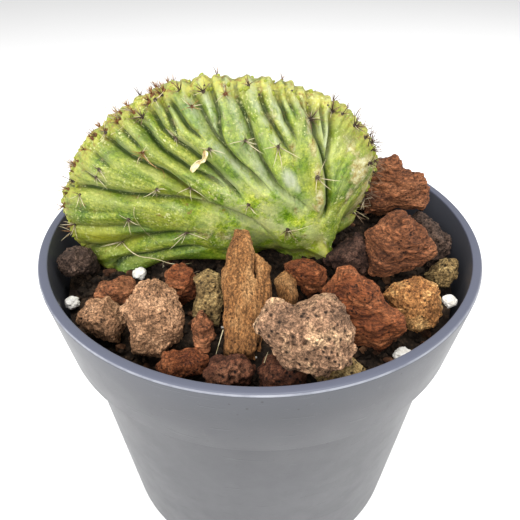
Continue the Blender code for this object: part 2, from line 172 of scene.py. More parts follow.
def cloudTexture(name, size, depth=2):
    texture = bpy.data.textures.new(name, "CLOUDS")
    texture.noise_scale = size
    texture.noise_depth = depth
    return texture


# node helpers

def startLook(name, roughness, specular=0.5):
    look = bpy.data.materials.new(name)
    look.use_nodes = True
    tree = look.node_tree
    shader = tree.nodes["Principled BSDF"]
    shader.inputs["Roughness"].default_value = roughness
    shader.inputs["Specular IOR Level"].default_value = specular
    place = tree.nodes.new("ShaderNodeTexCoord").outputs["Object"]
    return look, tree, shader, place


def plug(tree, socket, value):
    if isinstance(value, bpy.types.NodeSocket):
        tree.links.new(value, socket)
    elif isinstance(value, tuple):
        socket.default_value = (*value, 1)
    else:
        socket.default_value = value


def stretched(tree, place, scale, turn=(0, 0, 0)):
    mapping = tree.nodes.new("ShaderNodeMapping")
    mapping.inputs["Scale"].default_value = scale
    mapping.inputs["Rotation"].default_value = turn
    tree.links.new(place, mapping.inputs["Vector"])
    return mapping.outputs["Vector"]


def noise(tree, place, scale, detail=4, rough=0.6, twist=0):
    node = tree.nodes.new("ShaderNodeTexNoise")
    node.inputs["Scale"].default_value = scale
    node.inputs["Detail"].default_value = detail
    node.inputs["Roughness"].default_value = rough
    node.inputs["Distortion"].default_value = twist
    tree.links.new(place, node.inputs["Vector"])
    return node.outputs[0]


def cells(tree, place, scale, feature="F1"):
    node = tree.nodes.new("ShaderNodeTexVoronoi")
    node.feature = feature
    node.inputs["Scale"].default_value = scale
    tree.links.new(place, node.inputs["Vector"])
    return node.outputs["Distance"]


def ramp(tree, value, *stops):
    node = tree.nodes.new("ShaderNodeValToRGB")
    steps = node.color_ramp.elements
    while len(steps) < len(stops):
        steps.new(0.5)
    for step, (at, colour) in zip(steps, stops):
        step.position = at
        step.color = (*colour, 1) if isinstance(colour, tuple) else (colour, colour, colour, 1)
    tree.links.new(value, node.inputs["Fac"])
    return node.outputs["Color"]


def mixed(tree, amount, first, second, blend="MIX"):
    node = tree.nodes.new("ShaderNodeMix")
    node.data_type = "RGBA"
    node.blend_type = blend
    plug(tree, node.inputs[0], amount)
    plug(tree, node.inputs[6], first)
    plug(tree, node.inputs[7], second)
    return node.outputs[2]


def times(tree, first, second):
    return mixed(tree, 1.0, first, second, "MULTIPLY")


def clouds(tree, place, grain, *stops):
    return ramp(tree, noise(tree, place, *grain), *stops)


def maths(tree, operation, first, second=0):
    node = tree.nodes.new("ShaderNodeMath")
    node.operation = operation
    plug(tree, node.inputs[0], first)
    plug(tree, node.inputs[1], second)
    return node.outputs[0]


def axes(tree, vector):
    split = tree.nodes.new("ShaderNodeSeparateXYZ")
    tree.links.new(vector, split.inputs[0])
    return split.outputs


def painted(tree, name):
    node = tree.nodes.new("ShaderNodeAttribute")
    node.attribute_name = name
    return node.outputs["Fac"]


def bump(tree, shader, height, distance, strength):
    node = tree.nodes.new("ShaderNodeBump")
    node.inputs["Distance"].default_value = distance
    node.inputs["Strength"].default_value = strength
    tree.links.new(height, node.inputs["Height"])
    if shader.inputs["Normal"].is_linked:
        tree.links.new(shader.inputs["Normal"].links[0].from_socket, node.inputs["Normal"])
    tree.links.new(node.outputs["Normal"], shader.inputs["Normal"])


def grainyLook(name, roughness, specular, grain, stops, pitting, distance, strength):
    # one noise colours the surface, a finer one roughens it
    look, tree, shader, place = startLook(name, roughness, specular)
    tree.links.new(clouds(tree, place, grain, *stops), shader.inputs["Base Color"])
    bump(tree, shader, noise(tree, place, *pitting), distance, strength)
    return look


# camera, light and floor

studio = {
    "lens": 37.4,
    "cameraAt": (0, -0.1282, 0.17895),
    "lookAt": (0, -0.01577, 0.095),
    "skyStrength": 0.55,
    "lightAim": (0, 0, 0.09),
    "floorSize": 8,
    "softboxes": {  # place, size, power
        "overhead": ((0.03, -0.05, 0.75), 0.50, 4.0),
        "front": ((-0.12, -0.62, 0.50), 0.45, 6.0),
        "left": ((-0.60, -0.20, 0.42), 0.45, 2.5),
        "right": ((0.65, 0.10, 0.40), 0.5, 2.5),
    },
}


def setStudio():
    camera = addPiece("camera", bpy.data.cameras.new("camera"))
    camera.data.lens = studio["lens"]
    camera.data.clip_start = 1 * mm
    camera.location = studio["cameraAt"]
    aim = Vector(studio["lookAt"]) - camera.location
    camera.rotation_euler = aim.to_track_quat("-Z", "Y").to_euler()
    bpy.context.scene.camera = camera

    world = bpy.data.worlds.new("paleStudio")
    world.use_nodes = True
    sky = world.node_tree.nodes["Background"]
    sky.inputs["Color"].default_value = (1, 1, 1, 1)
    sky.inputs["Strength"].default_value = studio["skyStrength"]
    bpy.context.scene.world = world
    bpy.context.scene.view_settings.view_transform = "Standard"

    for name, (place, size, power) in studio["softboxes"].items():
        light = addPiece(name, bpy.data.lights.new(name, "AREA"))
        light.data.shape = "DISK"
        light.data.size = size
        light.data.energy = power
        light.location = place
        aim = Vector(studio["lightAim"]) - light.location
        light.rotation_euler = aim.to_track_quat("-Z", "Y").to_euler()

    bpy.ops.mesh.primitive_plane_add(size=studio["floorSize"])
    floor = bpy.context.object
    floor.name = "floor"
    look, tree, shader, place = startLook("paleFloor", 0.9, 0.1)
    tone = clouds(tree, place, (3, 2), (0.3, 0.90), (0.7, 0.92))
    tree.links.new(tone, shader.inputs["Base Color"])
    floor.data.materials.append(look)
    print("studio ready")


setStudio()


# pot

pot = {
    "segments": 192,
    "height": 95 * mm,
    "rimRadius": 60 * mm,
    "rimWidth": 2.5 * mm,
    "collarFoot": 72.5 * mm,
    "collarFootRadius": 57 * mm,
    "bodyTopRadius": 53.8 * mm,
    "footRadius": 47 * mm,
    "footRing": 3 * mm,
    "footRecess": 3 * mm,
    "wall": 1.3 * mm,
    "innerSlope": 1.6 * mm,
    "rimBreak": 0.5 * mm,
    "edgeRound": 0.28 * mm,
    "sharpAngle": math.radians(25),
    "smoothAngle": math.radians(30),
    "drainHole": 4 * mm,
    "drainSides": 32,
    "drainCut": 8 * mm,
    "drainCircle": 28 * mm,
    "drainCount": 6,  # in the circle, and one more in the middle
    "rimFace": 0.45 * mm,
    "wornDepth": 0.5 * mm,
    "wornWidth": 0.36 * mm,
}


def plasticLook():
    look, tree, shader, place = startLook("greyPlastic", 0.36, 0.38)
    tone = clouds(tree, place, (35, 4), (0.3, (0.027, 0.028, 0.033)), (0.7, (0.031, 0.032, 0.038)))
    # the collar is painted paler towards the rim, as painted light on its upper part
    x, y, height = axes(tree, place)
    collar = maths(tree, "DIVIDE", maths(tree, "SUBTRACT", height, pot["collarFoot"]),
                   pot["height"] - pot["collarFoot"])
    rimwardLight = ramp(tree, collar, (0.0, 0.0), (0.6, 0.25), (1.0, 1.0))
    tone = mixed(tree, rimwardLight, tone, (0.052, 0.055, 0.066))
    # pale dust and small dark specks
    dust = clouds(tree, place, (420, 6, 0.75), (0.60, 0.0), (0.80, 0.10))
    tone = mixed(tree, dust, tone, (0.30, 0.30, 0.31))
    speck = ramp(tree, cells(tree, place, 420), (0.07, 0.8), (0.16, 0.0))
    rare = clouds(tree, place, (90, 2), (0.52, 0.0), (0.58, 1.0))
    tone = mixed(tree, times(tree, speck, rare), tone, (0.010, 0.009, 0.010))
    # the rim's top face is painted lighter and bluer, as the light it catches from above, and its outer edge
    # takes a painted pale highlight
    rimFace = maths(tree, "GREATER_THAN", height, pot["height"] - pot["rimFace"])
    tone = mixed(tree, rimFace, tone, (0.078, 0.084, 0.115))
    # painted highlight: a pale line along the rim's rounded outer edge
    reach = maths(tree, "SQRT", maths(tree, "ADD", maths(tree, "POWER", x, 2), maths(tree, "POWER", y, 2)))
    edgeHighlight = maths(tree, "MULTIPLY", maths(tree, "GREATER_THAN", height, pot["height"] - pot["wornDepth"]),
                 maths(tree, "GREATER_THAN", reach, pot["rimRadius"] - pot["wornWidth"]))
    edgeHighlight = times(tree, edgeHighlight, clouds(tree, place, (160, 4), (0.3, 0.2), (0.6, 0.9)))
    tone = mixed(tree, edgeHighlight, tone, (0.24, 0.25, 0.28))
    tree.links.new(tone, shader.inputs["Base Color"])
    satin = clouds(tree, place, (120, 5), (0.3, 0.33), (0.75, 0.40))
    tree.links.new(satin, shader.inputs["Roughness"])
    # moulding ripple, fine grain and long rubbed scratches
    bump(tree, shader, noise(tree, stretched(tree, place, (1, 1, 0.25)), 60, 2), 0.0004, 0.25)
    bump(tree, shader, noise(tree, place, 2600, 2), 0.00003, 0.5)
    rubbed = stretched(tree, place, (14, 14, 240))
    bump(tree, shader, clouds(tree, rubbed, (5, 2, 0.5, 0.6), (0.66, 0.0), (0.70, 1.0)), 0.00004, 0.4)
    return look


def makePot():
    p = pot
    profile = [
        (p["footRadius"] - p["footRing"], p["footRecess"]),
        (p["footRadius"] - p["footRing"], 0),
        (p["footRadius"], 0),
        (p["bodyTopRadius"], p["collarFoot"] + p["wall"]),
        (p["collarFootRadius"] - p["rimBreak"], p["collarFoot"]),
        (p["collarFootRadius"], p["collarFoot"]),
        (p["rimRadius"], p["height"] - p["rimBreak"]),
        (p["rimRadius"] - p["rimBreak"], p["height"]),
        (p["rimRadius"] - p["rimWidth"], p["height"]),
        (p["collarFootRadius"] - p["wall"], p["collarFoot"] + p["wall"] + p["innerSlope"]),
        (p["bodyTopRadius"] - p["wall"], p["collarFoot"] + p["wall"]),
        (p["footRadius"] - p["wall"], p["footRecess"] + p["wall"]),
    ]
    piece = growRings(profile, p["segments"])
    bakeModifier(piece, "BEVEL", width=p["edgeRound"], segments=3,
                 limit_method="ANGLE", angle_limit=p["sharpAngle"])
    cutters = []
    for k in range(p["drainCount"] + 1):
        turn = 2 * math.pi * k / p["drainCount"]
        reach = p["drainCircle"] if k < p["drainCount"] else 0
        bpy.ops.mesh.primitive_cylinder_add(
            vertices=p["drainSides"], radius=p["drainHole"], depth=p["drainCut"],
            location=(reach * math.cos(turn), reach * math.sin(turn), p["footRecess"]))
        cutters.append(bpy.context.object)
    cutter = joinAll(cutters)
    bakeModifier(piece, "BOOLEAN", object=cutter, operation="DIFFERENCE", solver="EXACT")
    bpy.data.objects.remove(cutter)
    pickOnly(piece)
    bpy.ops.object.shade_smooth_by_angle(angle=p["smoothAngle"])
    settle(piece, "nurseryPot", plasticLook(), "grey_plastic", "pot")
    print("pot made")


makePot()


# soil

soil = {
    "radius": 54.9 * mm,
    "footRadius": 51.5 * mm,
    "foot": 66 * mm,
    "shoulder": 79.5 * mm,
    "flat": 80.5 * mm,
    "topFrom": 80 * mm,
    "lumpsFrom": 80.2 * mm,
    "centreRadius": 0.3 * mm,
    "rings": 62,
    "segments": 150,
    "top": 82 * mm,
    "mound": 2 * mm,
    "moundRadius": 60 * mm,
    "waviness": 0.7 * mm,
    "sink": 0.3 * mm,
    "lumpSize": 1.6 * mm,
    "lumpHeight": 1.6 * mm,
    "wallGap": 2 * mm,
    # loose bits: name, count, smallest and largest, shape, how far they stand out
    "crumbs": ("peatCrumbs", 2600, (0.5 * mm, 1.9 * mm), (1, 0.8, 0.6), 0.3),
    "bark": ("barkBits", 190, (0.8 * mm, 2.1 * mm), (1.2, 0.8, 0.6), 0.6),
    "perlite": ("perliteBits", 26, (0.4 * mm, 0.8 * mm), (1, 0.9, 0.8), 1.2),
    "lumpKinds": 4,
    "lumpRoughness": 0.45,
}


def soilHeight(x, y):
    wave = math.sin(190 * x) * math.cos(230 * y) + 0.6 * math.sin(90 * x + 140 * y)
    dome = soil["mound"] * (1 - (x * x + y * y) / soil["moundRadius"]**2)
    return soil["top"] + dome + soil["waviness"] * (wave / 1.6 - 1)


def perliteLook():
    return grainyLook("perlite", 0.7, 0.3, (500, 5), ((0.3, (0.62, 0.58, 0.50)), (0.6, (0.86, 0.84, 0.79))),
                      (1600, 4), 0.0003, 0.6)


def makeSoil():
    rings, outer, inner = soil["rings"], soil["radius"], soil["centreRadius"]
    profile = [(soil["footRadius"], soil["foot"]), (outer, soil["shoulder"])]
    profile += [(outer * (1 - k / rings) + inner * k / rings, soil["flat"]) for k in range(rings)]
    piece = growRings(profile, soil["segments"])
    bakeModifier(piece, "TRIANGULATE")
    for vertex in piece.data.vertices:
        if vertex.co.z > soil["topFrom"]:
            vertex.co.z = soilHeight(vertex.co.x, vertex.co.y) - soil["sink"]
    topGroup = piece.vertex_groups.new(name="top")
    topGroup.add([v.index for v in piece.data.vertices if v.co.z > soil["lumpsFrom"]], 1, "REPLACE")
    bakeModifier(piece, "SUBSURF", levels=1, render_levels=1, subdivision_type="SIMPLE")
    bakeModifier(piece, "DISPLACE", texture=cloudTexture("peatLumps", soil["lumpSize"], 4),
                 strength=soil["lumpHeight"], mid_level=0.5, vertex_group="top",
                 direction="Z", texture_coords="LOCAL")
    smoothSkin(piece)
    peat = grainyLook("darkPeat", 0.95, 0.2, (420, 8, 0.7),
                      ((0.32, (0.006, 0.0045, 0.0035)), (0.52, (0.026, 0.017, 0.011)),
                       (0.72, (0.11, 0.066, 0.040))),
                      (900, 8, 0.75), 0.0008, 0.9)
    settle(piece, "pottingSoil", peat, "potting_soil", "soil")

    # a few rough lumps, copied all over the top
    lumps = [roughBall(1, soil["lumpRoughness"], k) for k in range(soil["lumpKinds"])]

    def strew(bits, look, slotName):
        name, count, sizes, shape, standing = soil[bits]
        copies = []
        for k in range(count):
            reach = (soil["radius"] - soil["wallGap"]) * math.sqrt(chance.random())
            turn = chance.uniform(0, 2 * math.pi)
            x, y = reach * math.cos(turn), reach * math.sin(turn)
            size = chance.uniform(*sizes) * chance.uniform(0.6, 1)
            spot = Matrix.Translation((x, y, soilHeight(x, y) + size * standing))
            matrix = spot @ anySpin() @ sized(*(size * share for share in shape))
            copies.append(placeCopy(name, lumps[k % len(lumps)], matrix))
        settle(joinAll(copies), name, look, slotName)

    strew("crumbs", peat, "potting_soil")
    bark = grainyLook("barkBits", 0.9, 0.2, (300, 5),
                      ((0.35, (0.018, 0.009, 0.006)), (0.5, (0.07, 0.030, 0.014)),
                       (0.66, (0.20, 0.10, 0.05))),
                      (1500, 4), 0.0002, 0.8)
    strew("bark", bark, "lava_rust")
    strew("perlite", perliteLook(), "perlite_white")
    for lump in lumps:
        bpy.data.objects.remove(lump)
    print("soil made")


makeSoil()


# crested stem

crest = {
    "place": (10.1 * mm, 2 * mm, 84 * mm),
    "width": 84 * mm,
    "height": 53 * mm,
    "thickness": 25 * mm,
    "neckRadius": 7 * mm,
    "neckDepth": 5 * mm,
    "neckTaper": 0.12,
    "neckPaleness": 0.9,
    "streakSpread": (200 * mm, 50 * mm),
    "wave": 1.2 * mm,
    "waveRate": 7.5,
    "columns": 490,
    "rows": 98,
    "neckRows": 5,
    "grooveDepth": 4.1 * mm,
    "swellEnd": 0.5,
    "neckBlend": 0.25,
    "edgeRoundness": 3.2,
    "endRoundness": 8,
    "grooveWander": 0.0022,
    "grooveTurn": 0.53,  # where along the edge the ribs change the side they lean to
    "gentleSide": 1.2,
    "steepSide": 0.65,
    "roundNotch": 0.62,
    "edgeLength": 190 * mm,
    "creaseWidth": 0.55 * mm,
    "flankPlace": 1.7 * mm,
    "flankWidth": 1.1 * mm,
    "edgeBumps": 80,
    "edgeBumpHeight": 0.5 * mm,
    "knobHeight": 0.5 * mm,
    "unevenness": 0.35 * mm,
    "cushionHeight": 0.6 * mm,
    "cushionWidth": 1.2 * mm,
    # the fan's lines start at the neck, leaning by degrees, and end turned to its heart
    "lean": 12,
    "leanLeft": 62,
    "leanRight": 52,
    "startReach": 0.42,
    "endReach": 0.4,
    "heart": (-0.18, 0.42, 0.34),
    # shapes pressed out: where, in the terms of the tables below, and how far in mm
    "corner": (((0.085, 0.97, 0.045, 0.30, 1.0),), (-1.6, -1.5, -1.6)),
    "lowRib": (((0.042, 0.97, 0.026, 0.14, 1.0),), (0.6, -4.2, -1.6)),
    "shoulder": (((0.80, 0.13, 0.15, 0.075, 1.0), (0.60, 0.20, 0.18, 0.10, 0.4)), (2.6, -5.2, -1.0)),
    "tuckBack": 5.0 * mm,
    "tuckSide": 2.6 * mm,
    "tuckNarrow": 0.25,
    "lobeHeight": 2.5 * mm,
    "lobeTall": 3.2 * mm,
    "lobeOut": 2.6 * mm,
    "lobeFront": 1.6 * mm,
    # the growing edge, as shares of the width and the height
    "edge": ((-0.50, 0.02), (-0.64, 0.0), (-0.73, 0.06), (-0.775, 0.205), (-0.765, 0.385), (-0.71, 0.565),
             (-0.62, 0.745), (-0.50, 0.88), (-0.37, 0.965), (-0.24, 1.0), (-0.11, 0.995), (0.01, 0.955),
             (0.11, 0.88), (0.19, 0.755), (0.235, 0.615), (0.24, 0.48), (0.215, 0.335), (0.20, 0.22),
             (0.14, 0.16)),
}

# grooves: places from the edge down as (up, along) pairs, then depth and half width
frontGrooves = (
    (((1, 0.055), (0.6, 0.085), (0.3, 0.14)), 0.9, 0.030),
    (((1, 0.107), (0.75, 0.115), (0.55, 0.16), (0.34, 0.225)), 1.0, 0.034),
    (((1, 0.163), (0.79, 0.170), (0.55, 0.197)), 0.45, 0.030),
    (((0.97, 0.205), (0.8, 0.215), (0.7, 0.225)), 0.30, 0.026),
    (((1, 0.247), (0.88, 0.265), (0.7, 0.280), (0.58, 0.307), (0.44, 0.360), (0.28, 0.408), (0.2, 0.44)),
     1.1, 0.036),
    (((0.97, 0.302), (0.82, 0.290), (0.76, 0.288)), 0.55, 0.022),
    (((0.98, 0.345), (0.86, 0.338), (0.8, 0.335)), 0.5, 0.018),
    (((1, 0.378), (0.8, 0.374), (0.65, 0.378), (0.5, 0.370), (0.4, 0.372)), 1.1, 0.030),
    (((1, 0.408), (0.85, 0.405), (0.76, 0.402)), 0.7, 0.016),
    (((1, 0.430), (0.88, 0.435), (0.75, 0.425), (0.62, 0.425), (0.52, 0.448), (0.45, 0.46)), 1.1, 0.026),
    (((1, 0.463), (0.84, 0.458), (0.7, 0.465), (0.5, 0.466), (0.38, 0.47)), 1.0, 0.024),
    (((1, 0.482), (0.89, 0.480), (0.75, 0.470)), 0.8, 0.015),
    (((0.97, 0.492), (0.8, 0.495), (0.70, 0.508)), 0.9, 0.018),
    (((1, 0.522), (0.77, 0.525), (0.6, 0.527), (0.48, 0.552), (0.43, 0.565)), 1.2, 0.026),
    (((1, 0.545), (0.84, 0.545), (0.7, 0.530), (0.62, 0.526)), 0.9, 0.015),
    (((1, 0.560), (0.93, 0.561), (0.86, 0.562)), 0.5, 0.010),
    (((1, 0.575), (0.8, 0.579), (0.6, 0.580), (0.48, 0.584), (0.44, 0.600), (0.39, 0.647), (0.36, 0.72)),
     1.2, 0.030),
    (((1, 0.600), (0.85, 0.608), (0.7, 0.635), (0.64, 0.65)), 1.0, 0.018),
    (((1, 0.620), (0.91, 0.628), (0.84, 0.635), (0.72, 0.660)), 1.0, 0.014),
    (((1, 0.630), (0.92, 0.640), (0.84, 0.652)), 0.7, 0.010),
    (((1, 0.643), (0.92, 0.660), (0.86, 0.675)), 0.8, 0.012),
    (((1, 0.659), (0.9, 0.677), (0.82, 0.687), (0.72, 0.722), (0.62, 0.745), (0.5, 0.756), (0.40, 0.738),
      (0.34, 0.72)), 1.3, 0.026),
    (((1, 0.676), (0.88, 0.694), (0.78, 0.708)), 0.7, 0.012),
    (((1, 0.696), (0.88, 0.712), (0.74, 0.722), (0.68, 0.73)), 1.0, 0.016),
    (((1, 0.750), (0.8, 0.757), (0.6, 0.765)), 0.22, 0.020),
    (((1, 0.860), (0.8, 0.850), (0.5, 0.83)), 0.25, 0.030),
    (((1, 0.945), (0.8, 0.935), (0.4, 0.90)), 0.5, 0.034),
)
backGrooves = tuple(
    (((1, at), (0.7, at + lean), (0.35, at + 2.2 * lean), (low, at + 3 * lean)), deep, 0.024)
    for at, lean, low, deep in (
        (0.05, 0.01, 0.4, 0.7), (0.1, 0.012, 0.25, 1.0), (0.15, 0.01, 0.6, 0.6), (0.2, 0.012, 0.2, 1.1),
        (0.25, 0.01, 0.6, 0.7), (0.3, 0.008, 0.35, 1.0), (0.34, 0.006, 0.65, 0.7),
        (0.38, 0.006, 0.15, 1.1), (0.42, 0.004, 0.5, 0.8), (0.46, 0.002, 0.25, 1.1),
        (0.495, 0, 0.7, 0.7), (0.535, 0, 0.1, 1.1), (0.575, -0.002, 0.55, 0.8),
        (0.61, -0.004, 0.3, 1.1), (0.65, -0.005, 0.65, 0.7), (0.69, -0.006, 0.2, 1.1),
        (0.73, -0.008, 0.6, 0.7), (0.775, -0.01, 0.3, 1.0), (0.83, -0.01, 0.15, 1.0),
        (0.89, -0.01, 0.5, 0.8), (0.95, -0.01, 0.25, 0.8))
)

# spine cushions on the front, as (along, up, kind)
frontAreoles = (
    (0.325, 0.87, "star"), (0.305, 0.87, "star"), (0.385, 0.97, "star"), (0.45, 0.93, "dark"),
    (0.40, 0.79, "young"), (0.463, 0.78, "star"), (0.338, 0.63, "star"), (0.39, 0.54, "star"),
    (0.22, 0.66, "star"), (0.223, 0.42, "long"), (0.12, 0.74, "long"), (0.25, 0.91, "star"),
    (0.478, 0.965, "star"), (0.517, 0.90, "young"), (0.537, 0.95, "dark"), (0.503, 0.69, "star"),
    (0.49, 0.92, "small"), (0.565, 0.71, "long"), (0.562, 0.94, "young"), (0.618, 0.70, "long"),
    (0.475, 0.39, "star"), (0.562, 0.26, "bold"), (0.698, 0.60, "long"), (0.672, 0.89, "bold"),
    (0.695, 0.975, "bold"), (0.735, 0.97, "dark"), (0.78, 0.985, "dark"), (0.802, 0.93, "dark"),
    (0.90, 0.97, "star"), (0.63, 0.89, "small"), (0.60, 0.955, "small"), (0.165, 0.95, "star"),
    (0.05, 0.93, "star"), (0.01, 0.85, "star"),
)

# pale scars and yellow flushes, as (along, up, half width along, half height up, strength)
scars = (
    (0.712, 0.50, 0.018, 0.10, 0.8), (0.700, 0.64, 0.014, 0.08, 0.72), (0.685, 0.76, 0.012, 0.08, 0.72),
    (0.672, 0.88, 0.012, 0.08, 0.72), (0.70, 0.42, 0.02, 0.03, 0.75), (0.27, 0.28, 0.05, 0.07, 0.62),
    (0.24, 0.36, 0.04, 0.08, 0.5), (0.80, 0.86, 0.035, 0.10, 0.95), (0.83, 0.74, 0.03, 0.08, 0.75),
    (0.90, 0.93, 0.05, 0.06, 0.9), (0.86, 0.95, 0.05, 0.05, 0.7), (0.655, 0.88, 0.010, 0.10, 0.5),
    (0.615, 0.84, 0.010, 0.12, 0.5), (0.57, 0.66, 0.012, 0.08, 0.5), (0.55, 0.80, 0.008, 0.12, 0.45),
    (0.35, 0.88, 0.03, 0.06, 0.35), (0.48, 0.88, 0.010, 0.08, 0.45), (0.325, 0.66, 0.02, 0.06, 0.42),
    (0.41, 0.45, 0.04, 0.07, 0.42), (0.52, 0.58, 0.016, 0.08, 0.42), (0.72, 0.62, 0.010, 0.10, 0.55),
    (0.645, 0.70, 0.012, 0.10, 0.5), (0.595, 0.74, 0.008, 0.10, 0.45), (0.75, 0.90, 0.02, 0.08, 0.6),
    (0.62, 0.36, 0.05, 0.05, 0.4), (0.77, 0.25, 0.08, 0.06, 0.5),
)
pallor = ((0.628, 0.53, 0.020, 0.060, 1.0), (0.640, 0.49, 0.014, 0.035, 0.7))
flushes = (
    (0.80, 0.17, 0.12, 0.09, 1.0), (0.80, 0.04, 0.20, 0.12, 1.1), (0.14, 0.80, 0.03, 0.15, 0.75),
    (0.50, 0.22, 0.10, 0.10, 0.15), (0.68, 0.98, 0.05, 0.04, 0.3), (0.48, 0.975, 0.015, 0.02, 0.7),
    (0.36, 0.50, 0.03, 0.10, 0.35), (0.25, 0.50, 0.04, 0.08, 0.35), (0.74, 0.9, 0.03, 0.1, 0.3),
    (0.70, 0.55, 0.02, 0.1, 0.5),
)

# painted light, brightening skin that the lamps reach weakly, and painted shade of deeper green on the lower
# lobes, partly the skin's own deeper green; in the same terms
paintedLightPatches = (
    (0.52, 0.32, 0.24, 0.20, 1.25), (0.80, 0.08, 0.22, 0.20, 1.6), (0.44, 0.50, 0.12, 0.12, 0.4),
    (0.60, 0.62, 0.10, 0.20, 0.45), (0.72, 0.75, 0.10, 0.18, 0.4), (0.54, 0.80, 0.05, 0.20, 0.3),
)
shades = (
    (0.03, 0.90, 0.06, 0.22, 1.0), (0.17, 0.62, 0.025, 0.12, 0.75), (0.12, 0.45, 0.05, 0.10, 0.6),
    (0.43, 0.84, 0.012, 0.10, 0.6), (0.49, 0.62, 0.016, 0.12, 0.65), (0.60, 0.62, 0.012, 0.12, 0.7),
    (0.57, 0.36, 0.04, 0.06, 0.5), (0.64, 0.45, 0.02, 0.12, 0.6), (0.66, 0.62, 0.012, 0.10, 0.6),
    (0.76, 0.62, 0.02, 0.14, 0.7), (0.80, 0.45, 0.04, 0.10, 0.6), (0.06, 0.70, 0.03, 0.12, 0.6),
    (0.045, 0.88, 0.03, 0.25, 1.0), (0.10, 0.72, 0.07, 0.25, 0.45), (0.35, 0.72, 0.012, 0.10, 0.45),
    (0.30, 0.42, 0.03, 0.07, 0.4), (0.20, 0.75, 0.04, 0.20, 0.35), (0.18, 0.45, 0.06, 0.14, 0.5),
    (0.51, 0.84, 0.008, 0.08, 0.5),
)


def edgePoints(shares):
    # a smooth curve through the edge points, walked by length
    corners = np.array(crest["edge"])
    lengths = np.concatenate([[0], np.cumsum(np.linalg.norm(np.diff(corners, axis=0), axis=1))])
    reach = shares * lengths[-1]
    k = np.clip(np.searchsorted(lengths, reach, side="left") - 1, 0, len(corners) - 2)
    t = ((reach - lengths[k]) / (lengths[k + 1] - lengths[k]))[:, None]
    before, start = corners[np.maximum(k - 1, 0)], corners[k]
    end, after = corners[k + 1], corners[np.minimum(k + 2, len(corners) - 1)]
    spot = start + 0.5 * ((end - before) * t + (2 * before - 5 * start + 4 * end - after) * t**2
                          + (3 * start - before - 3 * end + after) * t**3)
    return np.stack([spot[:, 0] * crest["width"], 0 * spot[:, 0], spot[:, 1] * crest["height"]], axis=-1)


def fanLine(along, up):
    # the fan's middle sheet; along is one row of numbers, up one column
    c = crest
    side = 2 * along - 1
    start = np.stack([c["neckRadius"] * np.sin(side * math.pi / 2), 0 * side, 0 * side], axis=-1)
    edge = edgePoints(along)
    tilt = np.radians(c["lean"] - np.where(side < 0, c["leanLeft"], c["leanRight"]) * side)
    reach = c["startReach"] * np.linalg.norm(edge - start, axis=-1)
    rise = np.stack([-np.sin(tilt) * reach, 0 * side, np.cos(tilt) * reach], axis=-1)
    across, high, drop = c["heart"]
    heart = np.stack([0 * side + across * c["width"], 0 * side, (high - drop * side**4) * c["height"]],
                     axis=-1)
    inward = (heart - edge) * c["endReach"]
    up = up[:, None, None]
    line = (start * (1 - up) ** 3 + (start + rise) * 3 * up * (1 - up) ** 2
            + (edge + inward) * 3 * up**2 * (1 - up) + edge * up**3)
    line[..., 1] += c["wave"] * np.sin(c["waveRate"] * along) * up[..., 0]
    return line


def halfThickness(along, up):
    c = crest
    side = np.abs(2 * along - 1)
    roundNeck = c["neckRadius"] * np.cos(side * math.pi / 2)
    up = up[:, None]
    swell = c["neckRadius"] + (c["thickness"] / 2 - c["neckRadius"]) * softStep(0, c["swellEnd"], up)
    roundEdge = np.sqrt(np.clip(1 - up ** c["edgeRoundness"], 0, 1))
    roundEnds = np.sqrt(np.clip(1 - side ** c["endRoundness"], 0, 1))
    blend = softStep(0, c["neckBlend"], up)
    return roundNeck * (1 - blend) + swell * roundEdge * roundEnds * blend


def grooveFields(along, up, grooves):
    # depth of the grooves, the thin crease at their bottom, which is painted as shade, and the ribs' flanks
    # beside them
    c = crest
    deep, crease, flank = (np.zeros((len(up), len(along))) for k in range(3))
    for places, depth, width in grooves:
        ups, alongs = np.array(places)[::-1].T
        centre = np.interp(up, ups, alongs)[:, None]
        centre = centre + c["grooveWander"] * np.sin(17 * up + 9 * alongs[0])[:, None]
        fade = softStep(ups[0] - 0.02, ups[0] + 0.10, up)
        if ups[-1] < 1:
            fade = fade * (1 - softStep(ups[-1] - 0.05, ups[-1] + 0.02, up))
        fade = fade[:, None]
        away = along[None, :] - centre
        # ribs lean over their outer neighbours, so a groove is steep on one side
        lean = 1 if alongs.mean() < c["grooveTurn"] else -1
        sides = np.where(away * lean > 0, c["gentleSide"], c["steepSide"])
        nearness = 1 - np.clip(np.abs(away) / (width * sides), 0, 1)
        notch = c["roundNotch"] * (1 - np.sqrt(1 - nearness**2)) + (1 - c["roundNotch"]) * nearness**1.8
        deep = np.maximum(deep, notch * fade * depth)
        distance = away * c["edgeLength"] * (0.25 + 0.75 * up[:, None])
        line = np.exp(-(distance / c["creaseWidth"]) ** 2)
        crease = np.maximum(crease, line * fade * min(1.2 * depth, 1))
        beside = np.exp(-((distance - lean * c["flankPlace"]) / c["flankWidth"]) ** 2)
        flank = np.maximum(flank, beside * fade * min(depth, 1) * (0.75 - 0.25 * lean))
    return deep, crease, flank


def spots(along, up, table):
    value = np.zeros((len(up), len(along)))
    for at, high, wide, tall, strength in table:
        fall = ((along[None, :] - at) / wide) ** 2 + ((up[:, None] - high) / tall) ** 2
        value = np.maximum(value, strength * np.exp(-fall))
    return value


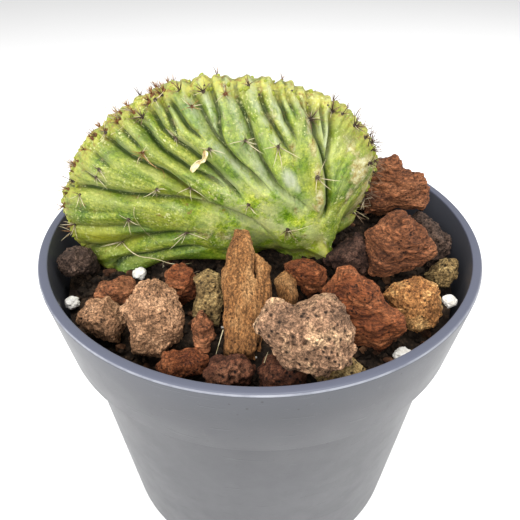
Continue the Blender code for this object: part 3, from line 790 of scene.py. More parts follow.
def pressShape(shape, along, up):
    # the low rib under the left end hangs, the right shoulder bulges over the neck
    c = crest
    onFront = (np.arange(len(along)) <= c["columns"])[None, :]
    for name, where in (("corner", 1), ("lowRib", onFront)):
        table, move = c[name]
        shape += (spots(along, up, table) * where)[..., None] * np.array(move) * mm
    table, (side, forth, rise) = c["shoulder"]
    shoulder = spots(along, up, table)
    shape[..., 0] += side * mm * shoulder * (along > 0.6)[None, :]
    shape[..., 1] += forth * mm * shoulder * onFront
    shape[..., 2] += rise * mm * shoulder
    tuck = (1 - softStep(0.02, 0.13, up))[:, None]
    shape[..., 1] += c["tuckBack"] * tuck
    shape[..., 0] *= 1 - c["tuckNarrow"] * tuck * (shape[..., 0] < 0)
    shape[..., 0] += c["tuckSide"] * tuck * softStep(0, 6 * mm, shape[..., 0])

    lobe = np.exp(-((shape[..., 2] - c["lobeHeight"]) / c["lobeTall"]) ** 2)
    lobe *= softStep(2 * mm, 7 * mm, shape[..., 0])
    shape[..., 0] += c["lobeOut"] * lobe
    shape[..., 1] -= c["lobeFront"] * lobe * onFront


def paintSkin(mesh, along, up, row, column, fields):
    # what the skin's look reads, with the neck rows put before the fan's
    c = crest
    deep, crease, flank = fields
    edgeward = np.repeat(softStep(0.9, 1, up)[:, None], len(along), axis=1)
    paint = {
        # painted shade: the groove and crease masks darken the grooves
        "groove": deep * softStep(0.05, 0.3, up)[:, None],
        "crease": crease,
        "flank": flank * softStep(0.3, 0.5, up)[:, None],
        "scar": spots(along, up, scars),
        "flush": spots(along, up, flushes),
        # painted light on the neck and lower middle
        "pale": spots(along, up, paintedLightPatches),
        "pallor": spots(along, up, pallor),
        # painted shade of deeper green on the hanging lower lobes and smaller patches, partly the skin's own
        # deeper green
        "shade": spots(along, up, shades),
        "edgeward": edgeward,
    }
    for name, values in paint.items():
        # the neck rows carry painted light in the pale mask
        padding = np.full((c["neckRows"], len(along)), c["neckPaleness"] if name == "pale" else 0.0)
        values = np.concatenate([padding, values])[row, column].astype(np.float32)
        mesh.attributes.new(name, "FLOAT", "POINT").data.foreach_set("value", values)

    flow = np.zeros((len(column), 3), np.float32)
    flow[:, 0] = along[column] * c["streakSpread"][0]
    flow[:, 1] = np.concatenate([np.zeros(c["neckRows"]), up])[row] * c["streakSpread"][1]
    flow[:, 2] = (column > c["columns"]) * 1.0
    mesh.attributes.new("flow", "FLOAT_VECTOR", "POINT").data.foreach_set("vector", flow.ravel())


def makeCrest():
    c = crest
    columns = 2 * c["columns"]
    bpy.ops.mesh.primitive_grid_add(x_subdivisions=columns, y_subdivisions=c["rows"], size=1)
    piece = bpy.context.object
    mesh = piece.data
    flat = np.empty(len(mesh.vertices) * 3)
    mesh.vertices.foreach_get("co", flat)
    flat = flat.reshape(-1, 3)
    column = np.rint((flat[:, 0] + 0.5) * columns).astype(int)
    row = np.rint((flat[:, 1] + 0.5) * c["rows"]).astype(int)

    frontAlong = np.linspace(0, 1, c["columns"] + 1)
    backAlong = np.linspace(1, 0, c["columns"] + 1)[1:]
    fanRows = c["rows"] - c["neckRows"]
    up = 1 - (1 - np.linspace(0, 1, fanRows + 1)) ** 1.5

    def skin(along, facing, grooves):
        shape = fanLine(along, up)
        shape[..., 1] += facing * halfThickness(along, up)
        return shape, np.array(grooveFields(along, up, grooves))

    front, frontDeep = skin(frontAlong, -1, frontGrooves)
    back, backDeep = skin(backAlong, 1, backGrooves)
    # both sides share the front's pattern along the growing edge
    sharedDeep = np.array(grooveFields(backAlong, up, frontGrooves))
    nearEdge = softStep(0.93, 1, up)[:, None]
    backDeep = backDeep * (1 - nearEdge) + sharedDeep * nearEdge
    shape = np.concatenate([front, back], axis=1)
    deep, crease, flank = np.concatenate([frontDeep, backDeep], axis=2)
    along = np.concatenate([frontAlong, backAlong])

    # outward directions from the smooth form, turned into the fan's plane at the edge
    across = np.gradient(shape, axis=1)
    climb = np.gradient(shape, axis=0)
    normal = np.cross(across, climb)
    middle = fanLine(along, up)
    outward = middle[-1] - middle[-8]
    normal /= np.linalg.norm(normal, axis=-1, keepdims=True) + 1e-12
    outward /= np.linalg.norm(outward, axis=-1, keepdims=True) + 1e-12
    flatness = softStep(0.97, 1, up)[:, None, None]
    normal = normal * (1 - flatness) + outward[None] * flatness
    ends = softStep(0, 0.012, along) * softStep(0, 0.012, 1 - along)

    # ribs swell between the grooves, small bumps stand in a row along the edge
    lift = -c["grooveDepth"] * deep * softStep(0.05, 0.22, up)[:, None] * (1 - 0.7 * nearEdge)
    beads = 0.5 + 0.5 * np.cos(2 * math.pi * c["edgeBumps"] * along)
    beadStrength = softStep(0.25, 0.4, along) * softStep(0, 0.12, 0.85 - along)
    lift += c["edgeBumpHeight"] * (beads * beadStrength)[None, :] * softStep(0.9, 0.985, up)[:, None]
    knobs = np.array([mathutils.noise.noise((150 * a, 0.5, 3)) for a in along])[None, :]
    lift += c["knobHeight"] * knobs * nearEdge
    ripple = np.sin(41 * along)[None, :] * np.sin(9 * up)[:, None] + np.sin(23 * along + 2)[None, :]
    lift += c["unevenness"] * ripple
    shape = shape + normal * (lift * ends[None, :])[..., None]

    # a cushion under every spine cluster
    for at, high, kind in frontAreoles:
        j = int(at * c["columns"])
        i = int(np.argmin(np.abs(up - high)))
        away = np.linalg.norm(shape - shape[i, j], axis=-1)
        shape += normal * (c["cushionHeight"] * np.exp(-(away / c["cushionWidth"]) ** 2))[..., None]

    pressShape(shape, along, up)

    # neck rows under the fan
    neck = []
    for k in range(c["neckRows"]):
        share = 1 - k / c["neckRows"]
        ring = shape[0] * (1 - c["neckTaper"] * share)
        ring[:, 2] = -c["neckDepth"] * share
        neck.append(ring)
    shape = np.concatenate([np.array(neck), shape])
    place = np.array(c["place"])
    mesh.vertices.foreach_set("co", (shape[row, column] + place).ravel())

    paintSkin(mesh, along, up, row, column, (deep, crease, flank))

    # a place for a spine, its way out and its way up the skin
    def spot(at, high, facing=-1):
        i = c["neckRows"] + int(np.argmin(np.abs(up - high)))
        j = int(round(at * c["columns"]))
        if facing > 0:
            j = c["columns"] + int(round((1 - at) * c["columns"]))
        j = min(j, len(along) - 1)
        point = Vector(shape[i, j] + place)
        out = Vector(normal[i - c["neckRows"], j]).normalized()
        rise = Vector(shape[min(i + 2, len(shape) - 1), j] - shape[max(i - 2, 0), j]).normalized()
        return point, out, rise

    # the sheet is welded into one skin
    bpy.ops.object.mode_set(mode="EDIT")
    bpy.ops.mesh.select_all(action="SELECT")
    bpy.ops.mesh.remove_doubles(threshold=2e-6)
    closeShell()
    smoothSkin(piece)
    settle(piece, "crestedStem", skinLook(), "cactus_skin", "cactus")
    print("stem made:", len(mesh.polygons), "faces")
    return spot


def skinLook():
    look, tree, shader, place = startLook("cactusSkin", 0.42, 0.38)
    flowNode = tree.nodes.new("ShaderNodeAttribute")
    flowNode.attribute_name = "flow"
    flow = flowNode.outputs["Vector"]
    streak = stretched(tree, flow, (1, 0.22, 1))
    # the streaks crowd at the neck, so they fade there
    spread = ramp(tree, maths(tree, "MULTIPLY", axes(tree, flow)["Y"], 20), (0.30, 0.0), (0.62, 1.0))

    def cloudy(grain, *stops, on=place):
        return clouds(tree, on, grain, *stops)

    def mask(name, low, high, most):
        return ramp(tree, painted(tree, name), (low, 0.0), (high, most))

    def both(first, second):
        return times(tree, first, second)

    green = cloudy((95, 7, 0.68, 0.5), (0.36, (0.045, 0.095, 0.002)), (0.46, (0.100, 0.165, 0.004)),
                   (0.56, (0.19, 0.235, 0.014)), (0.70, (0.32, 0.345, 0.06)))
    # long streaks down the ribs and fine mottling
    lines = cloudy((620, 6, 0.68), (0.36, (0.50, 0.62, 0.40)), (0.50, (1, 1, 1)), (0.64, (1.4, 1.3, 1.5)),
                   on=streak)
    green = mixed(tree, spread, green, mixed(tree, 0.6, green, lines, "MULTIPLY"))
    mottle = cloudy((900, 5, 0.75), (0.38, (0.52, 0.62, 0.35)), (0.50, (1, 1, 1)), (0.62, (1.42, 1.28, 2.2)))
    grain = cloudy((2000, 4, 0.75), (0.40, (0.62, 0.68, 0.5)), (0.50, (1, 1, 1)), (0.60, (1.3, 1.22, 1.6)))
    green = both(both(green, mottle), grain)

    edgeward, shade = painted(tree, "edgeward"), painted(tree, "shade")
    # whitish flecks in swarms
    flecks = both(cloudy((1500, 3, 0.6), (0.56, 0.0), (0.64, 0.9)),
                  cloudy((120, 5, 0.7), (0.47, 0.0), (0.62, 1.0)))
    coats = (
        # grey bloom, strongest on the flanks beside the grooves
        (both(cloudy((170, 7, 0.7), (0.47, 0.0), (0.62, 0.5), on=streak), spread), (0.34, 0.37, 0.10)),
        (both(painted(tree, "flank"), cloudy((260, 6, 0.7), (0.40, 0.0), (0.56, 0.75))), (0.36, 0.40, 0.26)),
        # painted shade: the grooves are darkened green and the thin crease at their bottom near black
        (mask("groove", 0.30, 0.8, 0.45), (0.090, 0.150, 0.008)),
        (mask("crease", 0.22, 0.62, 0.95), (0.026, 0.048, 0.004)),
        # painted light: the skin at the neck and lower middle is brightened where the lamps reach it weakly,
        # with chalky patches
        (mask("pale", 0, 1, 1.0), (1.95, 1.95, 2.1)),
        (both(mask("pale", 0, 1, 0.6), cloudy((190, 6, 0.7), (0.42, 0.0), (0.56, 1.0))), (0.50, 0.51, 0.27)),
        (both(painted(tree, "flush"), cloudy((160, 4), (0.3, 0.35), (0.6, 0.85))), (0.44, 0.39, 0.028)),
        # young growth along the edge is yellower, with brown specks
        (both(edgeward, cloudy((420, 5, 0.7), (0.40, 0.1), (0.60, 0.95))), (0.40, 0.38, 0.07)),
        (both(edgeward, cloudy((700, 5, 0.7), (0.54, 0.0), (0.62, 0.85))), (0.20, 0.10, 0.025)),
        (flecks, (0.55, 0.55, 0.26)),
    )
    for amount, colour in coats:
        # a colour above one brightens what lies under it
        green = mixed(tree, amount, green, both(green, colour) if max(colour) > 1 else colour)
    # painted shade: shaded parts turn a darker, deeper green, partly the skin's own deeper green
    green = mixed(tree, both(shade, (0.75, 0.75, 0.75)), green, both((0.30, 0.55, 0.12), green))
    # corky scars, one faded patch and rusty stains
    rough = noise(tree, place, 420, 8, 0.78)
    broken = maths(tree, "ADD", maths(tree, "MULTIPLY", painted(tree, "scar"), 0.55), rough)
    patch = ramp(tree, broken, (0.72, 0.0), (0.86, 0.88))
    cork = cloudy((520, 7, 0.75), (0.36, (0.13, 0.07, 0.015)), (0.44, (0.34, 0.26, 0.08)),
                  (0.54, (0.52, 0.48, 0.24)), (0.66, (0.62, 0.62, 0.46)))
    green = mixed(tree, patch, green, cork)
    faded = both(mask("pallor", 0.25, 0.8, 1.0), cloudy((260, 5), (0.35, 0.55), (0.6, 0.95), on=streak))
    green = mixed(tree, faded, green, (0.50, 0.53, 0.38))
    green = mixed(tree, cloudy((300, 6, 0.75), (0.62, 0.0), (0.68, 0.75)), green, (0.17, 0.095, 0.018))
    tree.links.new(green, shader.inputs["Base Color"])
    tree.links.new(ramp(tree, rough, (0.3, 0.36), (0.7, 0.62)), shader.inputs["Roughness"])
    shader.inputs["Subsurface Weight"].default_value = 0.08
    shader.inputs["Subsurface Radius"].default_value = (0.0010, 0.0015, 0.0004)
    shader.inputs["Subsurface Scale"].default_value = 1.0
    bump(tree, shader, both(noise(tree, streak, 330, 6, 0.65), spread), 0.0014, 0.6)
    bump(tree, shader, noise(tree, place, 900, 5, 0.7), 0.00042, 0.7)
    bump(tree, shader, patch, 0.0004, 0.6)
    return look


skinSpot = makeCrest()


# spines and wool

spine = {
    "sides": 5,
    "stations": ((0.026, 0.0, 0.0), (0.021, 0.35, 0.015), (0.014, 0.7, 0.055), (0.003, 1.0, 0.13)),
    # every kind of cluster is a few sets: look, count, shortest, longest, lift off the skin, droop
    "kinds": {
        "star": (("pale", 4, 1.6, 4.4, 0.40, 0.6), ("dark", 5, 0.9, 2.4, 0.8, -0.2)),
        "long": (("pale", 5, 2.4, 6.6, 0.45, 0.5), ("dark", 5, 1.2, 3.0, 0.7, -0.3)),
        "dark": (("dark", 12, 1.4, 4.6, 0.7, -0.2), ("pale", 1, 2.0, 3.0, 0.5, 0.0)),
        "bold": (("dark", 12, 1.8, 5.0, 0.8, 0.1), ("pale", 2, 2.0, 3.4, 0.5, 0.4)),
        "young": (("young", 9, 1.4, 3.6, 0.7, 0.0), ("pale", 3, 1.6, 3.4, 0.5, 0.4),
                  ("dark", 3, 1.0, 2.0, 0.8, 0.0)),
        "small": (("dark", 3, 0.6, 1.4, 0.8, 0.0),),
        "edge": (("young", 6, 0.7, 2.2, 1.6, 0.0), ("dark", 3, 0.8, 2.6, 1.2, 0.0)),
        "edgeDark": (("dark", 7, 1.2, 4.2, 1.5, 0.0), ("young", 2, 1.0, 2.0, 1.5, 0.0)),
        "tuft": (("young", 16, 0.7, 2.1, 1.6, -0.5), ("dark", 6, 0.7, 2.4, 1.6, -0.5)),
        "whisker": (("pale", 2, 3.6, 6.0, 1.4, -0.3), ("young", 3, 1.6, 3.8, 1.4, -0.2)),
    },
    "cushions": (0.16, 0.97),
    "bushy": (0.25, 0.52),
    "darkFrom": 0.7,
    "rootOut": 0.1 * mm,
    "rootAlong": 0.15 * mm,
    "girth": 1.4,
    "girthMost": 4.6 * mm,
    "woolKinds": ("edge", "young", "tuft", "whisker"),
    "woolSizes": {"small": 0.3, "edge": 0.36, "edgeDark": 0.4, "tuft": 0.55},
    "woolSize": 0.5,
    "tuftRoughness": 0.35,
    "tufts": (0.300, 0.363, 0.370, 0.425, 0.468, 0.476, 0.484, 0.492),
    "whiskers": (0.145, 0.205, 0.245, 0.300, 0.412, 0.418, 0.440),
    "knobs": 130,
    "knobSizes": (0.25, 0.62),
    "backClusters": 44,
    # name, then colour at the root, the middle and the tip
    "looks": {
        "pale": ("paleSpines", (0.12, 0.085, 0.055), (0.42, 0.36, 0.24), (0.60, 0.52, 0.34)),
        "dark": ("darkSpines", (0.03, 0.018, 0.014), (0.06, 0.035, 0.022), (0.20, 0.13, 0.08)),
        "young": ("youngSpines", (0.09, 0.03, 0.012), (0.20, 0.075, 0.025), (0.40, 0.22, 0.08)),
        "wool": ("spineWool", (0.022, 0.015, 0.009), (0.060, 0.046, 0.030), (0.24, 0.21, 0.15)),
        "edgeWool": ("edgeWool", (0.06, 0.025, 0.010), (0.14, 0.06, 0.02), (0.26, 0.15, 0.05)),
        "knob": ("edgeKnobs", (0.22, 0.25, 0.03), (0.32, 0.33, 0.05), (0.42, 0.38, 0.10)),
    },
}


def spineLook(name, root, middle, tip):
    # a spine darkens towards its root
    look, tree, shader, place = startLook(name, 0.65, 0.2)
    along = maths(tree, "ADD", painted(tree, "tip"), maths(tree, "MULTIPLY", noise(tree, place, 350, 4), 0.3))
    tree.links.new(ramp(tree, along, (0.20, root), (0.45, middle), (0.95, tip)), shader.inputs["Base Color"])
    bump(tree, shader, noise(tree, place, 3000, 2), 0.00005, 0.6)
    return look


def makeSpines():
    stations = spine["stations"]
    bpy.ops.object.select_all(action="DESELECT")
    bpy.ops.mesh.primitive_circle_add(vertices=spine["sides"], radius=stations[0][0], fill_type="NOTHING")
    model = bpy.context.object
    bpy.ops.object.mode_set(mode="EDIT")
    bpy.ops.mesh.select_all(action="SELECT")
    for (radius, height, lean), (newRadius, newHeight, newLean) in zip(stations, stations[1:]):
        step = (newLean - lean, 0, newHeight - height)
        bpy.ops.mesh.extrude_region_move(TRANSFORM_OT_translate={"value": step})
        size = newRadius / radius
        bpy.ops.transform.resize(value=(size, size, 1), center_override=(newLean, 0, newHeight))
    bpy.ops.mesh.edge_face_add()
    closeShell()

    def markTips(piece, values):
        piece.data.attributes.new("tip", "FLOAT", "POINT").data.foreach_set("value", values)

    markTips(model, [vertex.co.z for vertex in model.data.vertices])
    tufts = []
    for k in range(3):
        tufts.append(roughBall(2, spine["tuftRoughness"], k + 5))
        markTips(tufts[k], [0.5 * chance.random() for vertex in tufts[k].data.vertices])
    bpy.ops.mesh.primitive_ico_sphere_add(subdivisions=2, radius=1)
    knob = bpy.context.object
    bpy.ops.object.shade_smooth()

    groups = {group: [] for group in spine["looks"]}

    def lay(group, source, matrix):
        groups[group].append(placeCopy(group, source, matrix))

    def cluster(along, up, kind, facing=-1):
        point, out, rise = skinSpot(along, up, facing)
        side = out.cross(rise).normalized()
        rise = side.cross(out).normalized()
        first = chance.uniform(0, fullTurn)
        for group, count, shortest, longest, lift, droop in spine["kinds"][kind]:
            for k in range(count):
                turn = first + (k + chance.uniform(-0.7, 0.7)) * 2 * math.pi / count
                aim = out * lift * chance.uniform(0.5, 2.0) + rise * math.sin(turn) + side * math.cos(turn)
                aim.z -= chance.uniform(0.4, 1.6) * droop
                if aim.dot(out) < 0.12:
                    aim += out * (0.2 - aim.dot(out))
                length = (shortest + (longest - shortest) * chance.random() ** 1.1) * mm
                twist = aimed(aim) @ Matrix.Rotation(chance.uniform(0, fullTurn), 4, "Z")
                root = point + out * spine["rootOut"] + aim.normalized() * spine["rootAlong"]
                girth = min(spine["girth"] * length, spine["girthMost"])
                lay(group, model, Matrix.Translation(root) @ twist @ sized(girth, girth, length))
            first += 0.7
        wool = "edgeWool" if kind in spine["woolKinds"] else "wool"
        size = spine["woolSizes"].get(kind, spine["woolSize"]) * mm * chance.uniform(0.8, 1.25)
        tuft = tufts[chance.randrange(3)]
        lay(wool, tuft, Matrix.Translation(point) @ aimed(out) @ sized(size, size, size * 0.6))

    for along, up, kind in frontAreoles:
        cluster(along, up, kind)
    # the growing edge carries a row of young cushions, thickest on the left shoulder
    beads = crest["edgeBumps"]
    firstBead, lastBead = (int(share * beads) for share in spine["cushions"])
    bushyFrom, bushyTo = spine["bushy"]
    for k in range(firstBead, lastBead):
        along = k / beads + chance.uniform(-0.003, 0.003)
        atRight = along > spine["darkFrom"]
        dark = atRight or chance.random() < 0.3
        bushy = bushyFrom < along < bushyTo or chance.random() < 0.4 or atRight
        kind = "edgeDark" if dark and bushy else "edge" if bushy else "small"
        cluster(along, 0.975, kind, -1 if k % 2 else 1)
    for along in spine["tufts"]:
        for facing in (-1, 1):
            cluster(along, chance.uniform(0.975, 0.99), "tuft", facing)
    for along in spine["whiskers"]:
        cluster(along, 0.98, "whisker")
    # green knobs of new growth between them
    for k in range(spine["knobs"]):
        along = 0.1 + 0.85 * (k + chance.random()) / spine["knobs"]
        point, out, rise = skinSpot(along, chance.uniform(0.96, 1.0), -1 if k % 3 else 1)
        size = chance.uniform(*spine["knobSizes"]) * mm
        sunk = Matrix.Translation(point - out * 0.2 * size)
        lay("knob", knob, sunk @ anySpin() @ sized(size, size * 0.8, size * 1.4))
    for k in range(spine["backClusters"]):
        along = 0.06 + 0.88 * ((k * 0.618) % 1)
        cluster(along, 0.3 + 0.62 * chance.random(), "dark" if k % 3 == 0 else "star", 1)

    for group, (name, *colours) in spine["looks"].items():
        settle(joinAll(groups[group]), name, spineLook(name, *colours), "cactus_skin")
    for helper in [model, knob, *tufts]:
        bpy.data.objects.remove(helper)
    print("spines made")


makeSpines()


# loose hairs, a dead flap of skin and fallen spines

hairs = {
    # on the skin: thickness, look, then (along, up, height above the skin in mm)
    "onSkin": (
        (0.16, "pale", ((0.120, 0.74, 0.6), (0.112, 0.66, 2.0), (0.098, 0.57, 2.8), (0.085, 0.48, 3.0),
                        (0.085, 0.40, 2.4))),
        (0.14, "red", ((0.397, 0.78, 0.6), (0.396, 0.745, 1.6), (0.390, 0.70, 2.0), (0.380, 0.665, 1.4),
                       (0.372, 0.64, 0.5))),
        (0.07, "pale", ((0.29, 0.68, 0.4), (0.255, 0.66, 1.4), (0.215, 0.61, 1.8), (0.18, 0.565, 1.4),
                        (0.145, 0.52, 0.6))),
        (0.12, "pale", ((0.562, 0.26, 0.8), (0.60, 0.29, 2.6), (0.65, 0.33, 3.6), (0.69, 0.37, 4.2))),
        (0.07, "pale", ((0.39, 0.95, 0.5), (0.41, 0.93, 1.6), (0.43, 0.955, 1.4))),
    ),
    # from the skin straight out: thickness, look, along, up, reach in mm
    "straight": (
        (0.13, "dark", 0.780, 0.97, (0.3, -0.5, 6.4)), (0.11, "dark", 0.790, 0.97, (2.0, -0.5, 3.4)),
        (0.10, "dark", 0.845, 0.97, (2.6, -0.4, 2.6)), (0.10, "dark", 0.735, 0.97, (-0.6, -1.2, 4.6)),
        (0.09, "pale", 0.300, 0.98, (-4.8, -0.8, 3.2)), (0.09, "pale", 0.418, 0.98, (-4.6, -0.8, 4.6)),
        (0.08, "red", 0.424, 0.98, (-2.8, -0.8, 3.6)), (0.08, "dark", 0.372, 0.98, (-3.0, -0.8, 1.6)),
        (0.08, "dark", 0.480, 0.98, (-1.2, -0.8, 3.2)), (0.08, "pale", 0.245, 0.98, (-4.2, -0.8, 1.8)),
        (0.09, "pale", 0.930, 0.97, (3.8, -2.4, -1.4)), (0.09, "pale", 0.935, 0.97, (2.0, -1.8, -1.6)),
        (0.09, "pale", 0.925, 0.97, (3.4, -2.4, 2.2)),
    ),
    # on the ground: thickness, look, then places in mm
    "onGround": (
        (0.12, "pale", ((-8.3, -40.1, 93.5), (-9.4, -40.9, 89.8), (-10.5, -42.2, 86.0))),
        (0.11, "pale", ((0.9, -45.4, 88.5), (1.4, -44.4, 89.6), (1.8, -43.5, 90.0))),
        (0.20, "brown", ((-22.2, -10.3, 84.9), (-20.0, -10.9, 85.6), (-17.8, -11.4, 85.2),
                         (-15.4, -11.6, 84.9))),
        (0.16, "brown", ((-20.0, -10.9, 85.6), (-18.6, -9.4, 86.0), (-16.8, -9.0, 86.2))),
    ),
    "colours": {
        "pale": ((0.30, 0.24, 0.11), (0.62, 0.55, 0.36)),
        "red": ((0.16, 0.06, 0.02), (0.45, 0.26, 0.10)),
        "dark": ((0.03, 0.018, 0.012), (0.10, 0.065, 0.04)),
        "brown": ((0.10, 0.06, 0.035), (0.28, 0.19, 0.12)),
    },
}

# the dead flap: its root on the skin, then how far down, how wide and how high it stands, in mm
flap = {
    "at": (0.497, 0.69),
    "outline": ((0.0, 0.3, 0.8), (-0.1, 1.0, 1.3), (0.7, 1.3, 1.6), (1.7, 1.0, 1.5), (2.6, 0.8, 1.3),
                (3.3, 0.9, 1.0), (3.9, 1.4, 1.2), (4.6, 1.6, 1.8), (5.2, 1.3, 2.2), (5.7, 0.9, 2.4),
                (6.1, 0.4, 2.5)),
    "upperFall": (-0.35, 0, -0.93),
    "lowerFall": (-0.62, 0, -0.78),
    "across": (0.75, 0, -0.65),
    "curl": 1.2,
    "thickness": 0.18 * mm,
}


def strand(points, thickness):
    line = bpy.data.curves.new("strand", "CURVE")
    line.dimensions = "3D"
    line.bevel_depth = thickness * mm
    line.bevel_resolution = 1
    line.resolution_u = 6
    line.use_fill_caps = True
    path = line.splines.new("NURBS")
    path.points.add(len(points) - 1)
    path.order_u = 3
    path.use_endpoint_u = True
    for k, (spot, point) in enumerate(zip(path.points, points)):
        spot.co = (*point, 1)
        spot.radius = 1 - 0.75 * k / (len(points) - 1)
    piece = addPiece("strand", line)
    pickOnly(piece)
    bpy.ops.object.convert(target="MESH")
    piece = bpy.context.object
    mergePoints(piece, 0.0001 * mm)
    return piece


def makeHairs():
    groups = {name: [] for name in hairs["colours"]}
    for thickness, colour, places in hairs["onSkin"]:
        points = []
        for along, up, height in places:
            point, out, rise = skinSpot(along, up)
            points.append(point + out * height * mm)
        groups[colour].append(strand(points, thickness))
    for thickness, colour, along, up, reach in hairs["straight"]:
        point, out, rise = skinSpot(along, up)
        points = [point + Vector(reach) * mm * share for share in (0, 0.5, 1)]
        groups[colour].append(strand(points, thickness))
    for thickness, colour, places in hairs["onGround"]:
        groups[colour].append(strand([Vector(place) * mm for place in places], thickness))
    for colour, (dark, light) in hairs["colours"].items():
        look = grainyLook(f"{colour}Hair", 0.6, 0.2, (500, 3), ((0.35, dark), (0.65, light)),
                          (3000, 2), 0.00005, 0.6)
        settle(joinAll(groups[colour]), f"{colour}Hairs", look, "cactus_skin")
    print("hairs made")


def makeFlap():
    # a small sheet folded and given a thickness
    point, out, rise = skinSpot(*flap["at"])
    steps = len(flap["outline"]) - 1
    bpy.ops.object.select_all(action="DESELECT")
    bpy.ops.mesh.primitive_grid_add(x_subdivisions=steps, y_subdivisions=4, size=1)
    piece = bpy.context.object
    for vertex in piece.data.vertices:
        k = min(int(round((vertex.co.x + 0.5) * steps)), steps)
        away, wide, high = flap["outline"][k]
        fall = Vector(flap["lowerFall"] if k > 4 else flap["upperFall"])
        ragged = 0.35 * mathutils.noise.noise((3.1 * k, 7 * vertex.co.y, 2))
        high += 0.5 * ragged + flap["curl"] * vertex.co.y**2
        wide = vertex.co.y * wide + ragged
        vertex.co = point + out * high * mm + fall * away * mm + Vector(flap["across"]) * wide * mm
    bakeModifier(piece, "SOLIDIFY", thickness=flap["thickness"])
    bakeModifier(piece, "SUBSURF", levels=2, render_levels=2)
    look = grainyLook("deadSkin", 0.8, 0.2, (420, 5, 0.7),
                      ((0.36, (0.24, 0.11, 0.03)), (0.45, (0.55, 0.45, 0.22)), (0.6, (0.72, 0.66, 0.44))),
                      (900, 4), 0.0002, 0.6)
    smoothSkin(piece)
    settle(piece, "deadFlap", look, "cactus_skin")
    print("flap made")


makeHairs()
makeFlap()


# lava stones

# dark, middle and light colour, size of the pores in millimetres and how many there are
lavaColours = {
    "lava_bark": ((0.085, 0.032, 0.010), (0.205, 0.092, 0.030), (0.36, 0.20, 0.082), 0.5, 0.25),
    "lava_pink": ((0.070, 0.040, 0.024), (0.24, 0.135, 0.078), (0.50, 0.33, 0.185), 0.9, 0.9),
    "lava_tan": ((0.095, 0.050, 0.025), (0.25, 0.132, 0.068), (0.46, 0.27, 0.15), 0.6, 0.5),
    "lava_ochre": ((0.12, 0.040, 0.012), (0.31, 0.140, 0.045), (0.66, 0.42, 0.17), 0.6, 0.5),
    "lava_rust": ((0.045, 0.010, 0.004), (0.145, 0.043, 0.014), (0.30, 0.115, 0.048), 0.6, 0.4),
    "lava_red": ((0.028, 0.009, 0.005), (0.085, 0.030, 0.015), (0.19, 0.085, 0.045), 0.8, 0.8),
    "lava_brown": ((0.042, 0.014, 0.006), (0.145, 0.052, 0.021), (0.32, 0.135, 0.060), 0.6, 0.4),
    "lava_olive": ((0.055, 0.033, 0.013), (0.20, 0.130, 0.050), (0.46, 0.34, 0.15), 0.8, 0.8),
    "lava_purple": ((0.014, 0.007, 0.005), (0.048, 0.023, 0.015), (0.125, 0.068, 0.047), 0.7, 0.6),
    "lava_dark": ((0.014, 0.008, 0.006), (0.052, 0.032, 0.023), (0.14, 0.09, 0.065), 0.7, 0.6),
}

# form of each kind of stone: (texture size, strength) steps in millimetres, pores, layers
stoneKinds = {
    "granular": {"steps": ((5.0, 1.6), (1.6, 0.75), (0.6, 0.45)), "pores": 0.5, "stretch": None},
    "porous": {"steps": ((4.0, 1.8), (1.5, 0.7), (0.6, 0.45)), "pores": 1.7, "stretch": None},
    "layered": {"steps": ((5.0, 1.6), (2.2, 1.7), (0.9, 0.7)), "pores": 0.25, "stretch": (3.2, 2.4, 0.8)},
    "fibrous": {"steps": ((4.0, 0.9), (1.3, 1.0), (0.6, 0.5)), "pores": 0.15, "stretch": (0.9, 0.9, 7.0)},
}

# the crack down the front of the slab: place, turn and size
crack = {
    "location": (-1.2 * mm, -28.5 * mm, 95.5 * mm),
    "rotation": (math.radians(-37.4), math.radians(3), math.radians(6)),
    "scale": (0.9 * mm, 7 * mm, 34 * mm),
}

stoneFinish = {
    "smoothSteps": 4,
    "facetSize": 6.5 * mm,
    "facetDepth": 1.6 * mm,
    "patchSize": 6 * mm,
    "openPore": 1.7 * mm,
    "finePore": 1.3 * mm,
    "poreContrast": 1.4,
}

